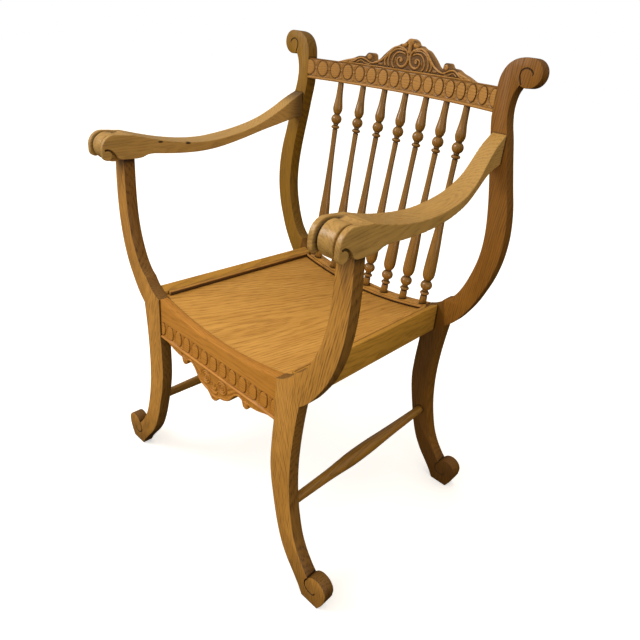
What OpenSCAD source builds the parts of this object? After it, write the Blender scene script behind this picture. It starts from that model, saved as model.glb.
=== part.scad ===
// Dante chair: a Savonarola style open armchair in golden oak.
// Two planked frames of curved legs stand parallel, joined by rails, stretchers and arms.
// The front faces -Y, +Z is up, the origin is on the floor under the middle of the chair.
// Left and right are as seen from the front.

/* [Size] */
// height of the front seat corner above the floor
seat_z = 428; // [400:1:460]
// height of the post scrolls above the floor
post_h = 950; // [900:1:1000]
// height of the arm pad, where the arm sits on its support
arm_z = 689; // [660:1:715]
// from the front face of the front legs to the front face of the back legs
seat_d = 435; // [400:1:470]
// from the middle of the chair to the inner face of a leg block
leg_in = 176; // [160:1:195]
// how far a foot reaches out past the inner face of its leg block
foot_out = 140; // [125:1:150]
// how far the arm support and back post swing out past the leg block joint
swing = 92; // [84:1:100]

/* [Frames] */
// thickness of the front legs and arm supports
front_t = 22.5; // [20:0.5:28]
// thickness of the back legs and back posts
rear_t = 28; // [24:1:32]
// radius of a foot scroll
foot_r = 23.5; // [20:0.5:26]
// radius of a back post scroll
scroll_r = 25; // [22:0.5:28]
// width of a carved volute line
groove_w = 2.4; // [1.6:0.1:3]
// depth of a carved volute line
groove_d = 1.6; // [1:0.1:2.4]

/* [Arms] */
// width of an arm at its knuckle
arm_w = 56; // [50:1:62]
// width of an arm where it meets the back post
arm_tail = 29; // [24:1:32]
// height of the arm end on the back post
tail_h = 55; // [48:1:60]
// how far the arm end sits above the pad
tail_rise = 75; // [65:1:85]
// reach of the knuckle in front of the front legs
knuckle_y = 45; // [40:1:50]

/* [Seat] */
// how far the middle of the seat dips below its corners
dish = 19; // [12:1:24]
// thickness of the dished seat panel
panel_t = 7; // [5:0.5:9]
// thickness of the front rail
rail_t = 26; // [24:1:30]
// height of the front rail at its ends above its straight moulding
rail_h = 84; // [76:1:90]
// set back of the front rail behind the leg faces
rail_back = 3; // [1:0.5:4]
// width of the band in front of the seat panel
band_w = 18; // [15:1:20]
// thickness of the rear rail
rear_rail_t = 34; // [30:1:38]
// height of the rear rail at its ends
rear_rail_h = 56; // [46:1:64]
// outer face of a side rail, past the inner face of the leg block
side_out = 32; // [28:1:36]
// how far a side rail stands above the front seat corner
side_rise = 15; // [12:0.5:18]
// height of a side rail at its outer face
side_h = 62; // [54:1:68]
// thickness of a side rail
side_t = 28; // [26:1:30]
// width and height of the bead around the seat
bead = 7.5; // [6:0.5:9]

/* [Back] */
// height of the crest rail between its edges
crest_h = 44; // [38:1:50]
// how far the crest rail bows back at its middle
crest_bow = 53; // [44:1:60]
// thickness of the crest rail
crest_t = 22; // [19:1:25]
// drop from the post scrolls to the top edge of the crest rail
crest_drop = 54; // [50:1:60]
// height of the carved cresting above the crest rail
cresting_h = 64; // [54:1:70]
// spacing of the spindles
spindle_gap = 55.5; // [50:0.5:58]
// largest radius of a spindle
spindle_r = 13.6; // [12:0.2:15]

/* [Small parts] */
// largest radius of a stretcher
stretcher_r = 14.6; // [12:0.2:16]
// height of the stretchers
stretcher_z = 167; // [150:1:185]
// diameter of the dowels
dowel_d = 9; // [8:0.5:10]
// diameter of the round tenons on spindles
tenon_d = 11; // [9:0.5:12]
// clearance around every joint
fit = 0.1; // [0.05:0.05:0.2]

// node to show

/* [Hidden] */
$fn = 48;
oak = "#A9773A";
oak_light = "#B98A48";
oak_dark = "#8C5E2A";
birch = "#CDB48A";

// curve through a list of points, n steps from each point to the next
function spot(a, b, c, d, t) = 0.5 * (2 * b + (c - a) * t + (2 * a - 5 * b + 4 * c - d) * t * t
    + (3 * b - a - 3 * c + d) * t * t * t);
function flow(p, n) = concat(
    [for (i = [0:len(p) - 2]) for (j = [0:n - 1])
        spot(p[max(i - 1, 0)], p[i], p[i + 1], p[min(i + 2, len(p) - 1)], j / n)],
    [p[len(p) - 1]]);
function turned(p) = [for (i = [len(p) - 1:-1:0]) p[i]];
function flipped(p) = [for (q = turned(p)) [-q[0], q[1]]];
function at(c, r, a) = c + r * [cos(a), sin(a)];
function arc(c, r, a, b, n) = [for (i = [0:n]) at(c, r, a + (b - a) * i / n)];
function oval(c, rx, ry, n) = [for (i = [0:n - 1]) c + [rx * cos(360 * i / n), ry * sin(360 * i / n)]];

// a pattern is drawn inside its own box, [low corner, high corner], and carried to the real one
function carry(v, from, to, k) = to[0][k]
    + (v - from[0][k]) * (to[1][k] - to[0][k]) / (from[1][k] - from[0][k]);
function carried(list, from, to) = [for (p = list) [carry(p[0], from, to, 0), carry(p[1], from, to, 1)]];

// the joint between a leg block and the plank glued beside it
block_w = 44;
block_rise = 33;
block_lean = 13;
block_drop = 27;
joint_hi = [leg_in + block_w, seat_z + block_rise];
joint_lo = [leg_in + block_w + block_lean, seat_z - block_drop];

// leg outline, the foot ends in a scroll and a short flat heel
leg_box = [[leg_in, 0], [leg_in + foot_out, seat_z]];
leg_pattern = [[176, 0], [316, 428]];
function leg_pts(list) = carried(list, leg_pattern, leg_box);
foot_c = leg_pts([[310, 43]])[0];
foot_curl = [for (p = [[-0.9, 0.44], [-1.12, 0.11], [-1.2, -0.23], [-1.12, -0.53], [-0.89, -0.75],
    [-0.54, -0.84], [-0.23, -0.78], [-0.05, -0.47]]) foot_c + foot_r * p];
block_top = [[leg_in, seat_z], [leg_in + block_w * 0.3, seat_z + block_rise / 6],
    [leg_in + block_w * 0.64, seat_z + block_rise * 0.47],
    [leg_in + block_w * 0.84, seat_z + block_rise * 0.73], joint_hi];
leg_inner = leg_pts([[174, 300], [173.5, 255], [177, 222], [184, 188], [193, 152], [202, 121],
    [215, 88], [232, 60], [250, 38], [266, 18], [273, 7], [277, 0]]);
leg_outer = leg_pts([[290, 52], [283, 59], [273, 71], [260, 90], [247, 117], [236, 155],
    [229, 190], [224.5, 230], [223, 270], [224.5, 315], [228, 358]]);
leg_line = concat(
    flow(block_top, 3),
    flow(concat([joint_lo], turned(leg_outer)), 3),
    [foot_c], leg_pts([[333, 36]]),
    flow(leg_pts([[332, 30], [326, 15], [317, 0]]), 3),
    flow(concat(turned(leg_inner), leg_pts([[176, 338]])), 3));

// outlines of the arm support and the back post, planks that rise from the joint
up_box = [joint_hi, [joint_hi[0] + swing, arm_z]];
post_box = [joint_hi, [joint_hi[0] + swing, post_h]];
up_pattern = [[220, 461], [312, 689]];
post_pattern = [[220, 461], [312, 950]];
function up_x(x) = carry(x, up_pattern, up_box, 0);
function sup_pts(list) = carried(list, up_pattern, up_box);
function post_pts(list) = carried(list, post_pattern, post_box);
sup_line = concat(
    flow(concat([joint_hi], sup_pts([[233, 470], [248, 489], [261, 516], [270, 543],
        [276, 572], [279, 605], [280, 640], [279.5, 689]])), 3),
    flow(concat(sup_pts([[311.5, 689], [314, 642], [314, 602], [310.5, 558], [302, 515],
        [288, 476], [269, 443], [251, 418]]), [joint_lo]), 3));
post_in = up_x(242);
crest_hi = post_h - crest_drop;
crest_lo = crest_hi - crest_h;
scroll_c = [up_x(296), post_h - scroll_r];
scroll_curl = [for (p = [[-0.41, -0.82], [-0.54, -0.53], [-0.62, -0.2], [-0.56, 0.12], [-0.26, 0.3],
    [0.09, 0.24], [0.3, 0.04], [0.28, -0.13]]) scroll_c + scroll_r * p];
post_inner = post_pts([[233, 469], [248, 488], [260, 514], [270, 545], [277, 577], [279.5, 610],
    [278, 646], [272, 690], [264, 732], [256, 770], [250, 802], [245, 826]]);
post_outer = post_pts([[275, 886], [272.5, 862], [276, 836], [284, 807], [293, 768], [304, 723],
    [314, 684], [320, 646], [321.5, 613], [319, 577], [311, 538], [299, 503], [286, 472],
    [269, 442], [252, 418]]);
post_cap = [[up_x(244.5), post_h - scroll_r * 1.32], [up_x(253), post_h - scroll_r * 0.64],
    [up_x(267), post_h - scroll_r * 0.2], [up_x(283), post_h - scroll_r * 0.024],
    [scroll_c[0], post_h]];
post_line = concat(
    flow(concat([joint_hi], post_inner, [[post_in, crest_lo - crest_h / 6]]), 3),
    flow(concat([[post_in, crest_hi + crest_h / 11]], post_cap), 3),
    [scroll_c, [up_x(288), post_h - scroll_r * 1.6]],
    flow(concat([[up_x(281), post_h - scroll_r * 2]], post_outer, [joint_lo]), 3));

// the seat dips along a gentle curve from side to side
function dip(x) = seat_z - dish + dish * pow(x / leg_in, 2);
panel_drop = 2.5;
panel_reach = 13.5;
panel_x = leg_in + panel_reach;
rail_in = 11;
rail_lip = 7;
rail_rear = rail_back + rail_t;
panel_front = rail_back + band_w;
rear_face = seat_d - rail_in;
panel_rear = rear_face - fit;
side_face = leg_in + side_out;
side_top = seat_z + side_rise;

// the crest rail follows an arc that bows away from the sitter
bow_r = (post_in * post_in + crest_bow * crest_bow) / (2 * crest_bow);
bow_y = seat_d + crest_bow - bow_r;
function bow_front(x) = bow_y + sqrt(bow_r * bow_r - x * x);

back_edge = bow_y + bow_r + crest_t;
mid_y = (back_edge - knuckle_y) / 2;
knuckle_x = up_x(295.5);
tail_x = up_x(266);

module placed() {
    translate([0, -mid_y, 0]) children();
}

// upright slab with its front face at y
module slab(line, y, t) {
    translate([0, y + t, 0]) rotate([90, 0, 0]) linear_extrude(t) polygon(line);
}

module pin(a, b, d) {
    v = b - a;
    translate(a) rotate([0, acos(v[2] / norm(v)), atan2(v[1], v[0])]) cylinder(d = d, h = norm(v));
}

// line carved along a curve into the front face at y
function beside(p, i, w) = let (d = p[min(i + 1, len(p) - 1)] - p[max(i - 1, 0)])
    p[i] + w * [-d[1], d[0]] / norm(d);
function ribbon(p, w) = concat([for (i = [0:len(p) - 1]) beside(p, i, w)],
    [for (i = [len(p) - 1:-1:0]) beside(p, i, -w)]);
module carved_line(p, y) {
    slab(ribbon(flow(p, 3), groove_w / 2), y - 1, groove_d + 1);
}

// two dowels hold each leg block joint, n is 0 or 1
dowel_reach = 19;
joint_n = [joint_hi[1] - joint_lo[1], joint_lo[0] - joint_hi[0]] / norm(joint_hi - joint_lo);
module joint_dowel(n, y, grow) {
    p = joint_hi + (joint_lo - joint_hi) * (0.33 + 0.36 * n);
    a = p - joint_n * (dowel_reach + grow);
    b = p + joint_n * (dowel_reach + grow);
    pin([a[0], y, a[1]], [b[0], y, b[1]], dowel_d + 2 * grow);
}

// blind tenons of the rails, grow opens the mortises that take them
tenon_h = 44;
tenon_l = 16;
tenon_t = 8;
front_tenon_drop = 70;
rear_tenon_drop = 58;
side_tenon = [14, 9, 32];
side_tenon_in = 6;
side_tenon_drop = 36;
module front_tenon(grow) {
    translate([-leg_in - tenon_l - grow, front_t / 2 - tenon_t / 2 - grow, seat_z - front_tenon_drop - grow])
        cube([2 * (leg_in + tenon_l + grow), tenon_t + 2 * grow, tenon_h + 2 * grow]);
}
module rear_tenon(grow) {
    translate([-leg_in - tenon_l - grow, seat_d + rear_t / 2 - tenon_t / 2 - grow,
        seat_z - rear_tenon_drop - grow])
        cube([2 * (leg_in + tenon_l + grow), tenon_t + 2 * grow, tenon_h + 2 * grow]);
}
module side_tenons(grow) {
    translate([side_face - side_tenon_in - side_tenon[0] - grow, front_t - side_tenon[1] - grow,
        seat_z - side_tenon_drop - grow])
        cube([side_tenon[0] + 2 * grow, seat_d - front_t + 2 * (side_tenon[1] + grow),
            side_tenon[2] + 2 * grow]);
}
stretcher_x = leg_in + 37;
stretcher_end_r = 6.5;
stretcher_peg = 13;
module stretcher_ends(grow) {
    pin([stretcher_x, front_t - stretcher_peg - grow, stretcher_z],
        [stretcher_x, seat_d + stretcher_peg + grow, stretcher_z], 2 * (stretcher_end_r + grow));
}

module leg_right(y, t) {
    difference() {
        union() {
            slab(leg_line, y, t);
            translate([foot_c[0], y + t, foot_c[1]]) rotate([90, 0, 0]) cylinder(r = foot_r, h = t);
        }
        carved_line(foot_curl, y);
        joint_dowel(0, y + t / 2, fit);
        joint_dowel(1, y + t / 2, fit);
        side_tenons(fit);
        stretcher_ends(fit);
    }
}
module front_leg_right() {
    color(oak) placed() difference() {
        leg_right(0, front_t);
        front_tenon(fit);
    }
}
module front_leg_left() {
    mirror([1, 0, 0]) front_leg_right();
}
module rear_leg_right() {
    color(oak) placed() difference() {
        leg_right(seat_d, rear_t);
        rear_tenon(fit);
    }
}
module rear_leg_left() {
    mirror([1, 0, 0]) rear_leg_right();
}

pad_dowel_in = [24, 18];
tail_dowel_in = [22, 18];
crest_dowel_in = 13;
module pad_dowel(grow) {
    pin([knuckle_x, front_t / 2, arm_z - pad_dowel_in[0] - grow],
        [knuckle_x, front_t / 2, arm_z + pad_dowel_in[1] + grow], dowel_d + 2 * grow);
}
module tail_dowel(grow) {
    z = arm_z + tail_rise + tail_h / 2;
    pin([tail_x, seat_d - tail_dowel_in[0] - grow, z], [tail_x, seat_d + tail_dowel_in[1] + grow, z],
        dowel_d + 2 * grow);
}
crest_y = seat_d + rear_t / 2;
module crest_dowel(n, grow) {
    z = crest_lo + crest_h * (0.27 + 0.46 * n);
    reach = crest_dowel_in + grow;
    pin([post_in - reach, crest_y, z], [post_in + reach, crest_y, z], dowel_d - 1 + 2 * grow);
}

module arm_support_right() {
    color(oak) placed() difference() {
        slab(sup_line, 0, front_t);
        joint_dowel(0, front_t / 2, fit);
        joint_dowel(1, front_t / 2, fit);
        pad_dowel(fit);
    }
}
module arm_support_left() {
    mirror([1, 0, 0]) arm_support_right();
}

module back_post_right() {
    color(oak) placed() difference() {
        union() {
            slab(post_line, seat_d, rear_t);
            translate([scroll_c[0], seat_d + rear_t, scroll_c[1]]) rotate([90, 0, 0])
                cylinder(r = scroll_r, h = rear_t);
        }
        carved_line(scroll_curl, seat_d);
        joint_dowel(0, seat_d + rear_t / 2, fit);
        joint_dowel(1, seat_d + rear_t / 2, fit);
        tail_dowel(fit);
        crest_dowel(0, fit);
        crest_dowel(1, fit);
    }
}
module back_post_left() {
    mirror([1, 0, 0]) back_post_right();
}

// side view of an arm as [y, z], the shank is carried to the seat depth and the rise of its end
level_box = [[0, arm_z], [seat_d, arm_z + tail_h]];
slope_box = [[0, arm_z], [seat_d, arm_z + tail_rise]];
level_pattern = [[0, 689], [435, 744]];
slope_pattern = [[0, 689], [435, 764]];
function arm_y(y) = carry(y, level_pattern, level_box, 0);
function level(list) = carried(list, level_pattern, level_box);
function sloped(list) = carried(list, slope_pattern, slope_box);
shank_top = concat(
    level([[18, 734], [50, 727], [90, 720], [135, 715.5], [178, 715.5]]),
    sloped([[215, 719.5], [262, 729], [300, 741], [330, 754], [355, 768.5], [378, 784],
        [398, 798], [418, 810]]),
    [[seat_d, arm_z + tail_rise + tail_h]]);
shank_low = concat(
    [[seat_d, arm_z + tail_rise]],
    sloped([[401, 757], [365, 745.5], [329, 734], [295, 723], [261, 713]]),
    level([[220, 703], [178, 696.5], [140, 694.5], [95, 695], [58, 696.5], [44, 695]]));

// the knuckle rolls over the support and ends in a small curl with a notch behind it
nose_r = 27;
curl_r = 9.7;
barrel_r = 25.5;
core_r = 21;
rim_w = 9;
cove_w = 5;
nose_c = [nose_r - knuckle_y, arm_z + 20];
curl_c = [curl_r - knuckle_y, arm_z + 9.3];
pad_front = 30 - knuckle_y;
notch = flow([[pad_front + 9, 0], [pad_front + 1.5, 2], [pad_front - 1.5, 5], [pad_front - 4.5, 10],
    [pad_front - 8.5, 15], [pad_front - 14, 19], [pad_front - 20, 21], [pad_front - 25, 19.7]], 2);
arm_line = concat(
    flow(shank_top, 3),
    flow(shank_low, 3),
    [[front_t + 11, arm_z + 1.5], [front_t, arm_z]],
    [for (p = notch) p + [0, arm_z]],
    arc(curl_c, curl_r, 115, -180, 14),
    arc(nose_c, nose_r, 180, 96, 12));
core_line = concat(
    [[pad_front + 8, arm_z], [pad_front + 24, arm_z], [pad_front + 24, arm_z + 44]],
    arc(nose_c, core_r, 84, 225, 16));

// plan of an arm as [x, y]: outer edge, then inner edge back to the front
half_w = arm_w / 2;
plan_box = [[joint_hi[0], 0], [joint_hi[0] + swing, seat_d]];
plan_pattern = [[220, 0], [312, 435]];
function plan_pts(list) = carried(list, plan_pattern, plan_box);
arm_front = -knuckle_y - 15;
arm_plan = concat(
    flow(concat([[knuckle_x + half_w, arm_front], [knuckle_x + half_w, 20]],
        [[knuckle_x + half_w * 0.89, arm_y(90)], [knuckle_x + half_w * 0.75, arm_y(170)]],
        plan_pts([[315, 230], [310, 280], [299, 330], [287, 380]]),
        [[tail_x + arm_tail / 2, seat_d]]), 3),
    flow(concat([[tail_x - arm_tail / 2, seat_d]],
        plan_pts([[253.5, 392], [258, 360], [263, 322], [266, 262], [265, 180], [264, 110]]),
        [[knuckle_x - half_w + 1, arm_y(50)], [knuckle_x - half_w, 10],
            [knuckle_x - half_w, arm_front]]), 3));
module side_cut(line, x, w) {
    translate([x, 0, 0]) rotate([90, 0, 90]) linear_extrude(w) polygon(line);
}
module arm_right() {
    x0 = knuckle_x - half_w;
    x1 = knuckle_x + half_w;
    wide = x1 - tail_x + 2 * arm_w;
    high = tail_rise + tail_h + 2 * curl_r;
    color(oak_light) placed() difference() {
        union() {
            intersection() {
                side_cut(arm_line, tail_x - arm_w, wide);
                translate([0, 0, arm_z - curl_r]) linear_extrude(high) polygon(arm_plan);
                union() {
                    translate([tail_x - arm_w, 6, arm_z - curl_r]) cube([wide, seat_d, high]);
                    translate([x0, arm_front, arm_z - curl_r]) cube([rim_w, 10 - arm_front, high]);
                    translate([x1 - rim_w, arm_front, arm_z - curl_r]) cube([rim_w, 10 - arm_front, high]);
                }
            }
            side_cut(core_line, x0 + rim_w - 1, arm_w - 2 * rim_w + 2);
            translate([x0 + rim_w + cove_w, nose_c[0] + 1, nose_c[1]]) rotate([0, 90, 0])
                cylinder(r = barrel_r, h = arm_w - 2 * (rim_w + cove_w));
        }
        pad_dowel(fit);
        tail_dowel(fit);
    }
}
module arm_left() {
    mirror([1, 0, 0]) arm_right();
}

// turned spindle, l is its length between rail and crest
spindle_n = 7;
spindle_foot_r = 8.3;
peg_l = 13;
function ball(z, r, k) = [for (a = [-60:20:60]) [r * cos(a), z + k * sin(a)]];
function spindle_line(l) = concat(
    [[0, -peg_l], [tenon_d / 2, -peg_l], [tenon_d / 2, 0.4], [8, 0.4], [spindle_foot_r, 9],
        [7.8, 18]],
    ball(25.5, spindle_r - 3.2, 5.5), [[7.2, 32]], ball(44, spindle_r - 0.5, 12), [[8, 56]],
    flow([[8.6, 57.5], [spindle_r - 1, 65], [spindle_r, 76], [spindle_r - 0.8, l * 0.235],
        [spindle_r - 2.3, l * 0.31], [9, l * 0.4], [7.2, l * 0.52], [6, l * 0.645], [6, l - 110]], 3),
    [[6.4, l - 105.5]], ball(l - 99.5, spindle_r - 3.9, 5), [[6.8, l - 93.8]],
    ball(l - 81.5, spindle_r - 1.4, 12), [[6.8, l - 69.5]],
    flow([[8.8, l - 66.8], [10.9, l - 58.5], [10.2, l - 50], [8.4, l - 37], [7.3, l - 24],
        [6.6, l - 0.9]], 3),
    [[tenon_d / 2, l - 0.9], [tenon_d / 2, l + peg_l], [0, l + peg_l]]);
function sp_x(i) = (i - (spindle_n + 1) / 2) * spindle_gap;
sp_y = rear_face + rear_rail_t * 0.52;
function sp_low(i) = [sp_x(i) * 0.985, sp_y, dip(sp_x(i) * 0.985) + 1.5];
function sp_high(i) = [sp_x(i) * 1.01, bow_front(sp_x(i) * 1.01) + crest_t * 0.41, crest_lo];
function sp_length(i) = norm(sp_high(i) - sp_low(i));
module on_axis(i) {
    v = sp_high(i) - sp_low(i);
    translate(sp_low(i)) rotate([0, acos(v[2] / norm(v)), atan2(v[1], v[0])]) children();
}
module spindle(i) {
    color(oak_dark) placed() on_axis(i) rotate_extrude() polygon(spindle_line(sp_length(i)));
}
module foot_holes() {
    for (i = [1:spindle_n]) {
        on_axis(i) translate([0, 0, -peg_l - fit]) cylinder(d = tenon_d + 2 * fit, h = peg_l + 17);
        on_axis(i) translate([0, 0, 0.4 - fit]) cylinder(r = spindle_foot_r + fit, h = 10);
    }
}
module head_holes() {
    for (i = [1:spindle_n]) {
        on_axis(i) translate([0, 0, sp_length(i) - 16]) rotate([0, 0, 90])
            cylinder(d = tenon_d + 2 * fit, h = peg_l + 16 + fit);
    }
}
module spindle_1() {
    spindle(1);
}
module spindle_2() {
    spindle(2);
}
module spindle_3() {
    spindle(3);
}
module spindle_4() {
    spindle(4);
}
module spindle_5() {
    spindle(5);
}
module spindle_6() {
    spindle(6);
}
module spindle_7() {
    spindle(7);
}

// ring between two radii, the bent board that the crest rail is sawn from
module bow_ring(r0, r1) {
    h = crest_h + cresting_h + 40;
    translate([0, bow_y, crest_lo - 20]) difference() {
        cylinder(r = r1, h = h, $fn = 240);
        translate([0, 0, -1]) cylinder(r = r0, h = h + 2, $fn = 240);
    }
}

// outline of the cresting as [x, height above the rail]
crest_pattern = [[0, 0], [242, 64]];
crest_box = [[0, crest_hi], [post_in, crest_hi + cresting_h]];
function lift_pts(list) = carried(list, crest_pattern, crest_box);
knob_c = lift_pts([[101, 19]])[0];
spiral_c = lift_pts([[21.5, 19]])[0];
leaf_c = lift_pts([[0, 51]])[0];
knob_r = 9.5;
spiral_r = 16;
crest_half = concat(
    flow(lift_pts([[0, 64], [9, 60], [15, 53], [24, 52], [32, 47.5], [44, 43.5], [55, 35], [64, 27],
        [74, 17], [84, 12.5], [90, 14]]), 2),
    arc(knob_c, knob_r, 200, 20, 8),
    flow(lift_pts([[112, 18.5], [126, 17.5], [140, 11.5], [156, 7], [172, 1], [176, 0]]), 2));
crest_line = concat(
    [[-post_in, crest_lo], [-post_in, crest_hi]],
    flipped(crest_half),
    crest_half,
    [[post_in, crest_hi], [post_in, crest_lo]]);

// raised carving of the crest rail, before it is trimmed to the bend
oval_n = 15;
oval_step = post_in * 2 / (oval_n + 1.2);
carve_y = seat_d - 20;
carve_t = crest_bow + 40;
function coil(c, r, a, turn, w) = concat(
    [for (i = [0:40]) at(c, r * (1 - 0.82 * i / 40) + w / 2 * (1 - 0.5 * i / 40), a + turn * i / 40)],
    [for (i = [40:-1:0]) at(c, r * (1 - 0.82 * i / 40) - w / 2 * (1 - 0.5 * i / 40), a + turn * i / 40)]);
function band(low, high) = [[-post_in, low], [post_in, low], [post_in, high], [-post_in, high]];
module crest_raised() {
    for (i = [1:oval_n]) {
        slab(oval([(i - (oval_n + 1) / 2) * oval_step, crest_lo + crest_h * 0.5], oval_step * 0.36,
            crest_h * 0.36, 20), carve_y, carve_t);
    }
    slab(band(crest_hi - crest_h / 10, crest_hi), carve_y, carve_t);
    slab(band(crest_lo, crest_lo + crest_h / 11), carve_y, carve_t);
    slab(coil(spiral_c, spiral_r, 175, -620, spiral_r / 4), carve_y, carve_t);
    slab(flipped(coil(spiral_c, spiral_r, 175, -620, spiral_r / 4)), carve_y, carve_t);
    slab(oval(leaf_c, 6, 10, 16), carve_y, carve_t);
    slab(oval(knob_c, knob_r * 0.64, knob_r * 0.64, 14), carve_y, carve_t);
    slab(flipped(oval(knob_c, knob_r * 0.64, knob_r * 0.64, 14)), carve_y, carve_t);
}
carving = 2;
module crest_rail() {
    color(oak) placed() difference() {
        union() {
            intersection() {
                slab(crest_line, carve_y, carve_t + 20);
                bow_ring(bow_r + carving, bow_r + crest_t);
            }
            intersection() {
                crest_raised();
                bow_ring(bow_r, bow_r + carving + 1);
            }
        }
        head_holes();
        crest_dowel(0, fit);
        crest_dowel(1, fit);
        mirror([1, 0, 0]) crest_dowel(0, fit);
        mirror([1, 0, 0]) crest_dowel(1, fit);
    }
}

// line across the chair that follows the dip of the seat, from -wide to wide
function dipped(wide, lift) = [for (i = [-20:20]) [wide * i / 20, dip(wide * i / 20) + lift]];

// seat panel as a dished board, grow opens the rebates that take it
module panel_body(grow) {
    slab(concat(dipped(panel_x, grow - panel_drop), turned(dipped(panel_x, -panel_drop - panel_t))),
        panel_front, panel_rear - panel_front);
}
module seat_panel() {
    color(oak_light) placed() panel_body(0);
}

// front rail: dished top, sunk frieze of ovals and darts, a moulding and a pendant apron
rail_line = seat_z - rail_h;
frieze_h = 33;
frieze_z = rail_line + 4;
frieze_depth = 2;
ledge_t = 7;
apron_in = rail_t - ledge_t;
front_oval_n = 11;
front_oval_step = 2 * leg_in / (front_oval_n + 1.2);
apron_h = 63;
apron_pattern = [[0, -63], [176, 0]];
apron_box = [[0, rail_line - apron_h], [leg_in, rail_line]];
function hang(list) = carried(list, apron_pattern, apron_box);
apron_half = concat(
    flow(hang([[166, -3], [150, -7], [134, -12], [119, -15], [107, -16]]), 2),
    arc(hang([[95.5, -20]])[0], 8, 25, -200, 9),
    flow(hang([[84, -15], [76, -13], [68, -16], [60, -23], [48, -38], [36, -45], [27, -48], [19, -50],
        [12, -56], [6, -62], [0, -63]]), 2));
rail_under = concat(hang([[176, -3]]), apron_half, flipped(apron_half), flipped(hang([[176, -3]])));
module front_rail() {
    mid_z = frieze_z + frieze_h / 2;
    color(oak) placed() difference() {
        union() {
            difference() {
                slab(concat(dipped(leg_in, 0), rail_under), rail_back, rail_t);
                translate([-leg_in + 8, rail_back - 1, frieze_z])
                    cube([2 * leg_in - 16, frieze_depth + 1, frieze_h]);
                translate([-leg_in - 1, rail_back + apron_in, rail_line - apron_h - 5])
                    cube([2 * leg_in + 2, rail_t, apron_h]);
            }
            for (i = [1:front_oval_n]) {
                slab(oval([(i - (front_oval_n + 1) / 2) * front_oval_step, mid_z],
                    front_oval_step * 0.35, frieze_h * 0.44, 20), rail_back, frieze_depth + 1);
            }
            for (i = [1:front_oval_n - 1]) {
                slab(oval([(i - front_oval_n / 2) * front_oval_step, mid_z],
                    front_oval_step * 0.06, frieze_h * 0.4, 10), rail_back + 0.6, frieze_depth + 0.4);
            }
            translate([-leg_in, rail_back, rail_line]) rotate([0, 90, 0])
                cylinder(r = 2.6, h = 2 * leg_in);
            front_tenon(0);
        }
        panel_body(panel_drop + 20);
    }
}
module rear_rail() {
    low = seat_z - rear_rail_h;
    wide = side_face - side_t - fit;
    lip = rear_face - rail_lip;
    color(oak) placed() difference() {
        union() {
            intersection() {
                slab(concat(dipped(wide, 1.5), [[wide, low], [-wide, low]]), lip, rear_rail_t + rail_lip);
                union() {
                    translate([-wide, lip - 1, 0]) cube([2 * wide, seat_d - lip + 1 - fit, seat_z + 50]);
                    translate([-leg_in, lip - 1, 0]) cube([2 * leg_in, rear_rail_t + 20, seat_z + 50]);
                }
            }
            rear_tenon(0);
        }
        panel_body(panel_drop + 40);
        foot_holes();
    }
}

// side rail section, with a rebate for the seat panel and bead
module side_rail_right() {
    x0 = side_face - side_t;
    low = side_top - side_h;
    ledge = dip(panel_x) - panel_drop - panel_t;
    inner = dip(x0) - panel_drop - panel_t;
    line = [[side_face, low], [side_face, side_top - 1.5], [side_face - 1.5, side_top],
        [panel_x + 9, side_top - 4.5], [panel_x + fit, seat_z + 6.5],
        [panel_x + fit, ledge], [x0, inner], [x0, low]];
    color(oak) placed() union() {
        slab(line, front_t, seat_d - front_t);
        side_tenons(0);
    }
}
module side_rail_left() {
    mirror([1, 0, 0]) side_rail_right();
}

// beads lie on the panel against the rails
bead_x = panel_x - bead;
module seat_bead_right() {
    z = dip(panel_x) - panel_drop;
    y = rail_rear + 1;
    line = concat([[panel_x, z], [panel_x, z + bead - 1.6]],
        arc([panel_x - bead / 2, z + bead - 3.4], 3.4, 60, 165, 5),
        [[bead_x, dip(bead_x) - panel_drop]]);
    color(oak_dark) placed() slab(line, y, panel_rear - bead - y);
}
module seat_bead_left() {
    mirror([1, 0, 0]) seat_bead_right();
}
module seat_bead_rear() {
    low = dipped(panel_x, -panel_drop);
    color(oak_dark) placed() union() {
        slab(concat(low, turned(dipped(panel_x, bead - 1 - panel_drop))), panel_rear - bead + 2, bead - 2);
        slab(concat(low, turned(dipped(panel_x, bead - 3.5 - panel_drop))), panel_rear - bead, bead);
    }
}

module stretcher_right() {
    l = seat_d - front_t;
    end = stretcher_end_r + 2.5;
    swell = flow([[0, 0], [0.14, 0.12], [0.32, 0.23], [0.64, 0.31], [0.94, 0.385], [1, 0.46], [0.9, 0.55],
        [0.62, 0.65], [0.38, 0.76], [0.2, 0.88], [0, 1]], 2);
    belly = [for (p = swell) [end + (stretcher_r - end) * p[0], 6 + (l - 12) * p[1]]];
    color(oak_dark) placed() translate([stretcher_x, front_t, stretcher_z]) rotate([-90, 0, 0])
        rotate_extrude() polygon(concat(
            [[0, -stretcher_peg], [stretcher_end_r, -stretcher_peg], [stretcher_end_r, 0.2], [end, 0.2]],
            belly,
            [[end, l - 0.2], [stretcher_end_r, l - 0.2], [stretcher_end_r, l + stretcher_peg],
                [0, l + stretcher_peg]]));
}
module stretcher_left() {
    mirror([1, 0, 0]) stretcher_right();
}

// glue blocks in the corners under the seat
block_h = 20;
block_long = 62;
block_short = 52;
block_x = side_face - side_t;
block_z = dip(block_x - block_long) - panel_drop - panel_t - block_h;
module block(y, way) {
    color(birch) placed() translate([block_x, y, block_z]) linear_extrude(block_h)
        polygon([[0, 0], [0, way * block_short], [-10, way * block_short], [-block_long, way * 9],
            [-block_long, 0]]);
}
module block_front_right() {
    block(rail_rear, 1);
}
module block_front_left() {
    mirror([1, 0, 0]) block_front_right();
}
module block_rear_right() {
    block(rear_face - rail_lip, -1);
}
module block_rear_left() {
    mirror([1, 0, 0]) block_rear_right();
}

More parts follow.
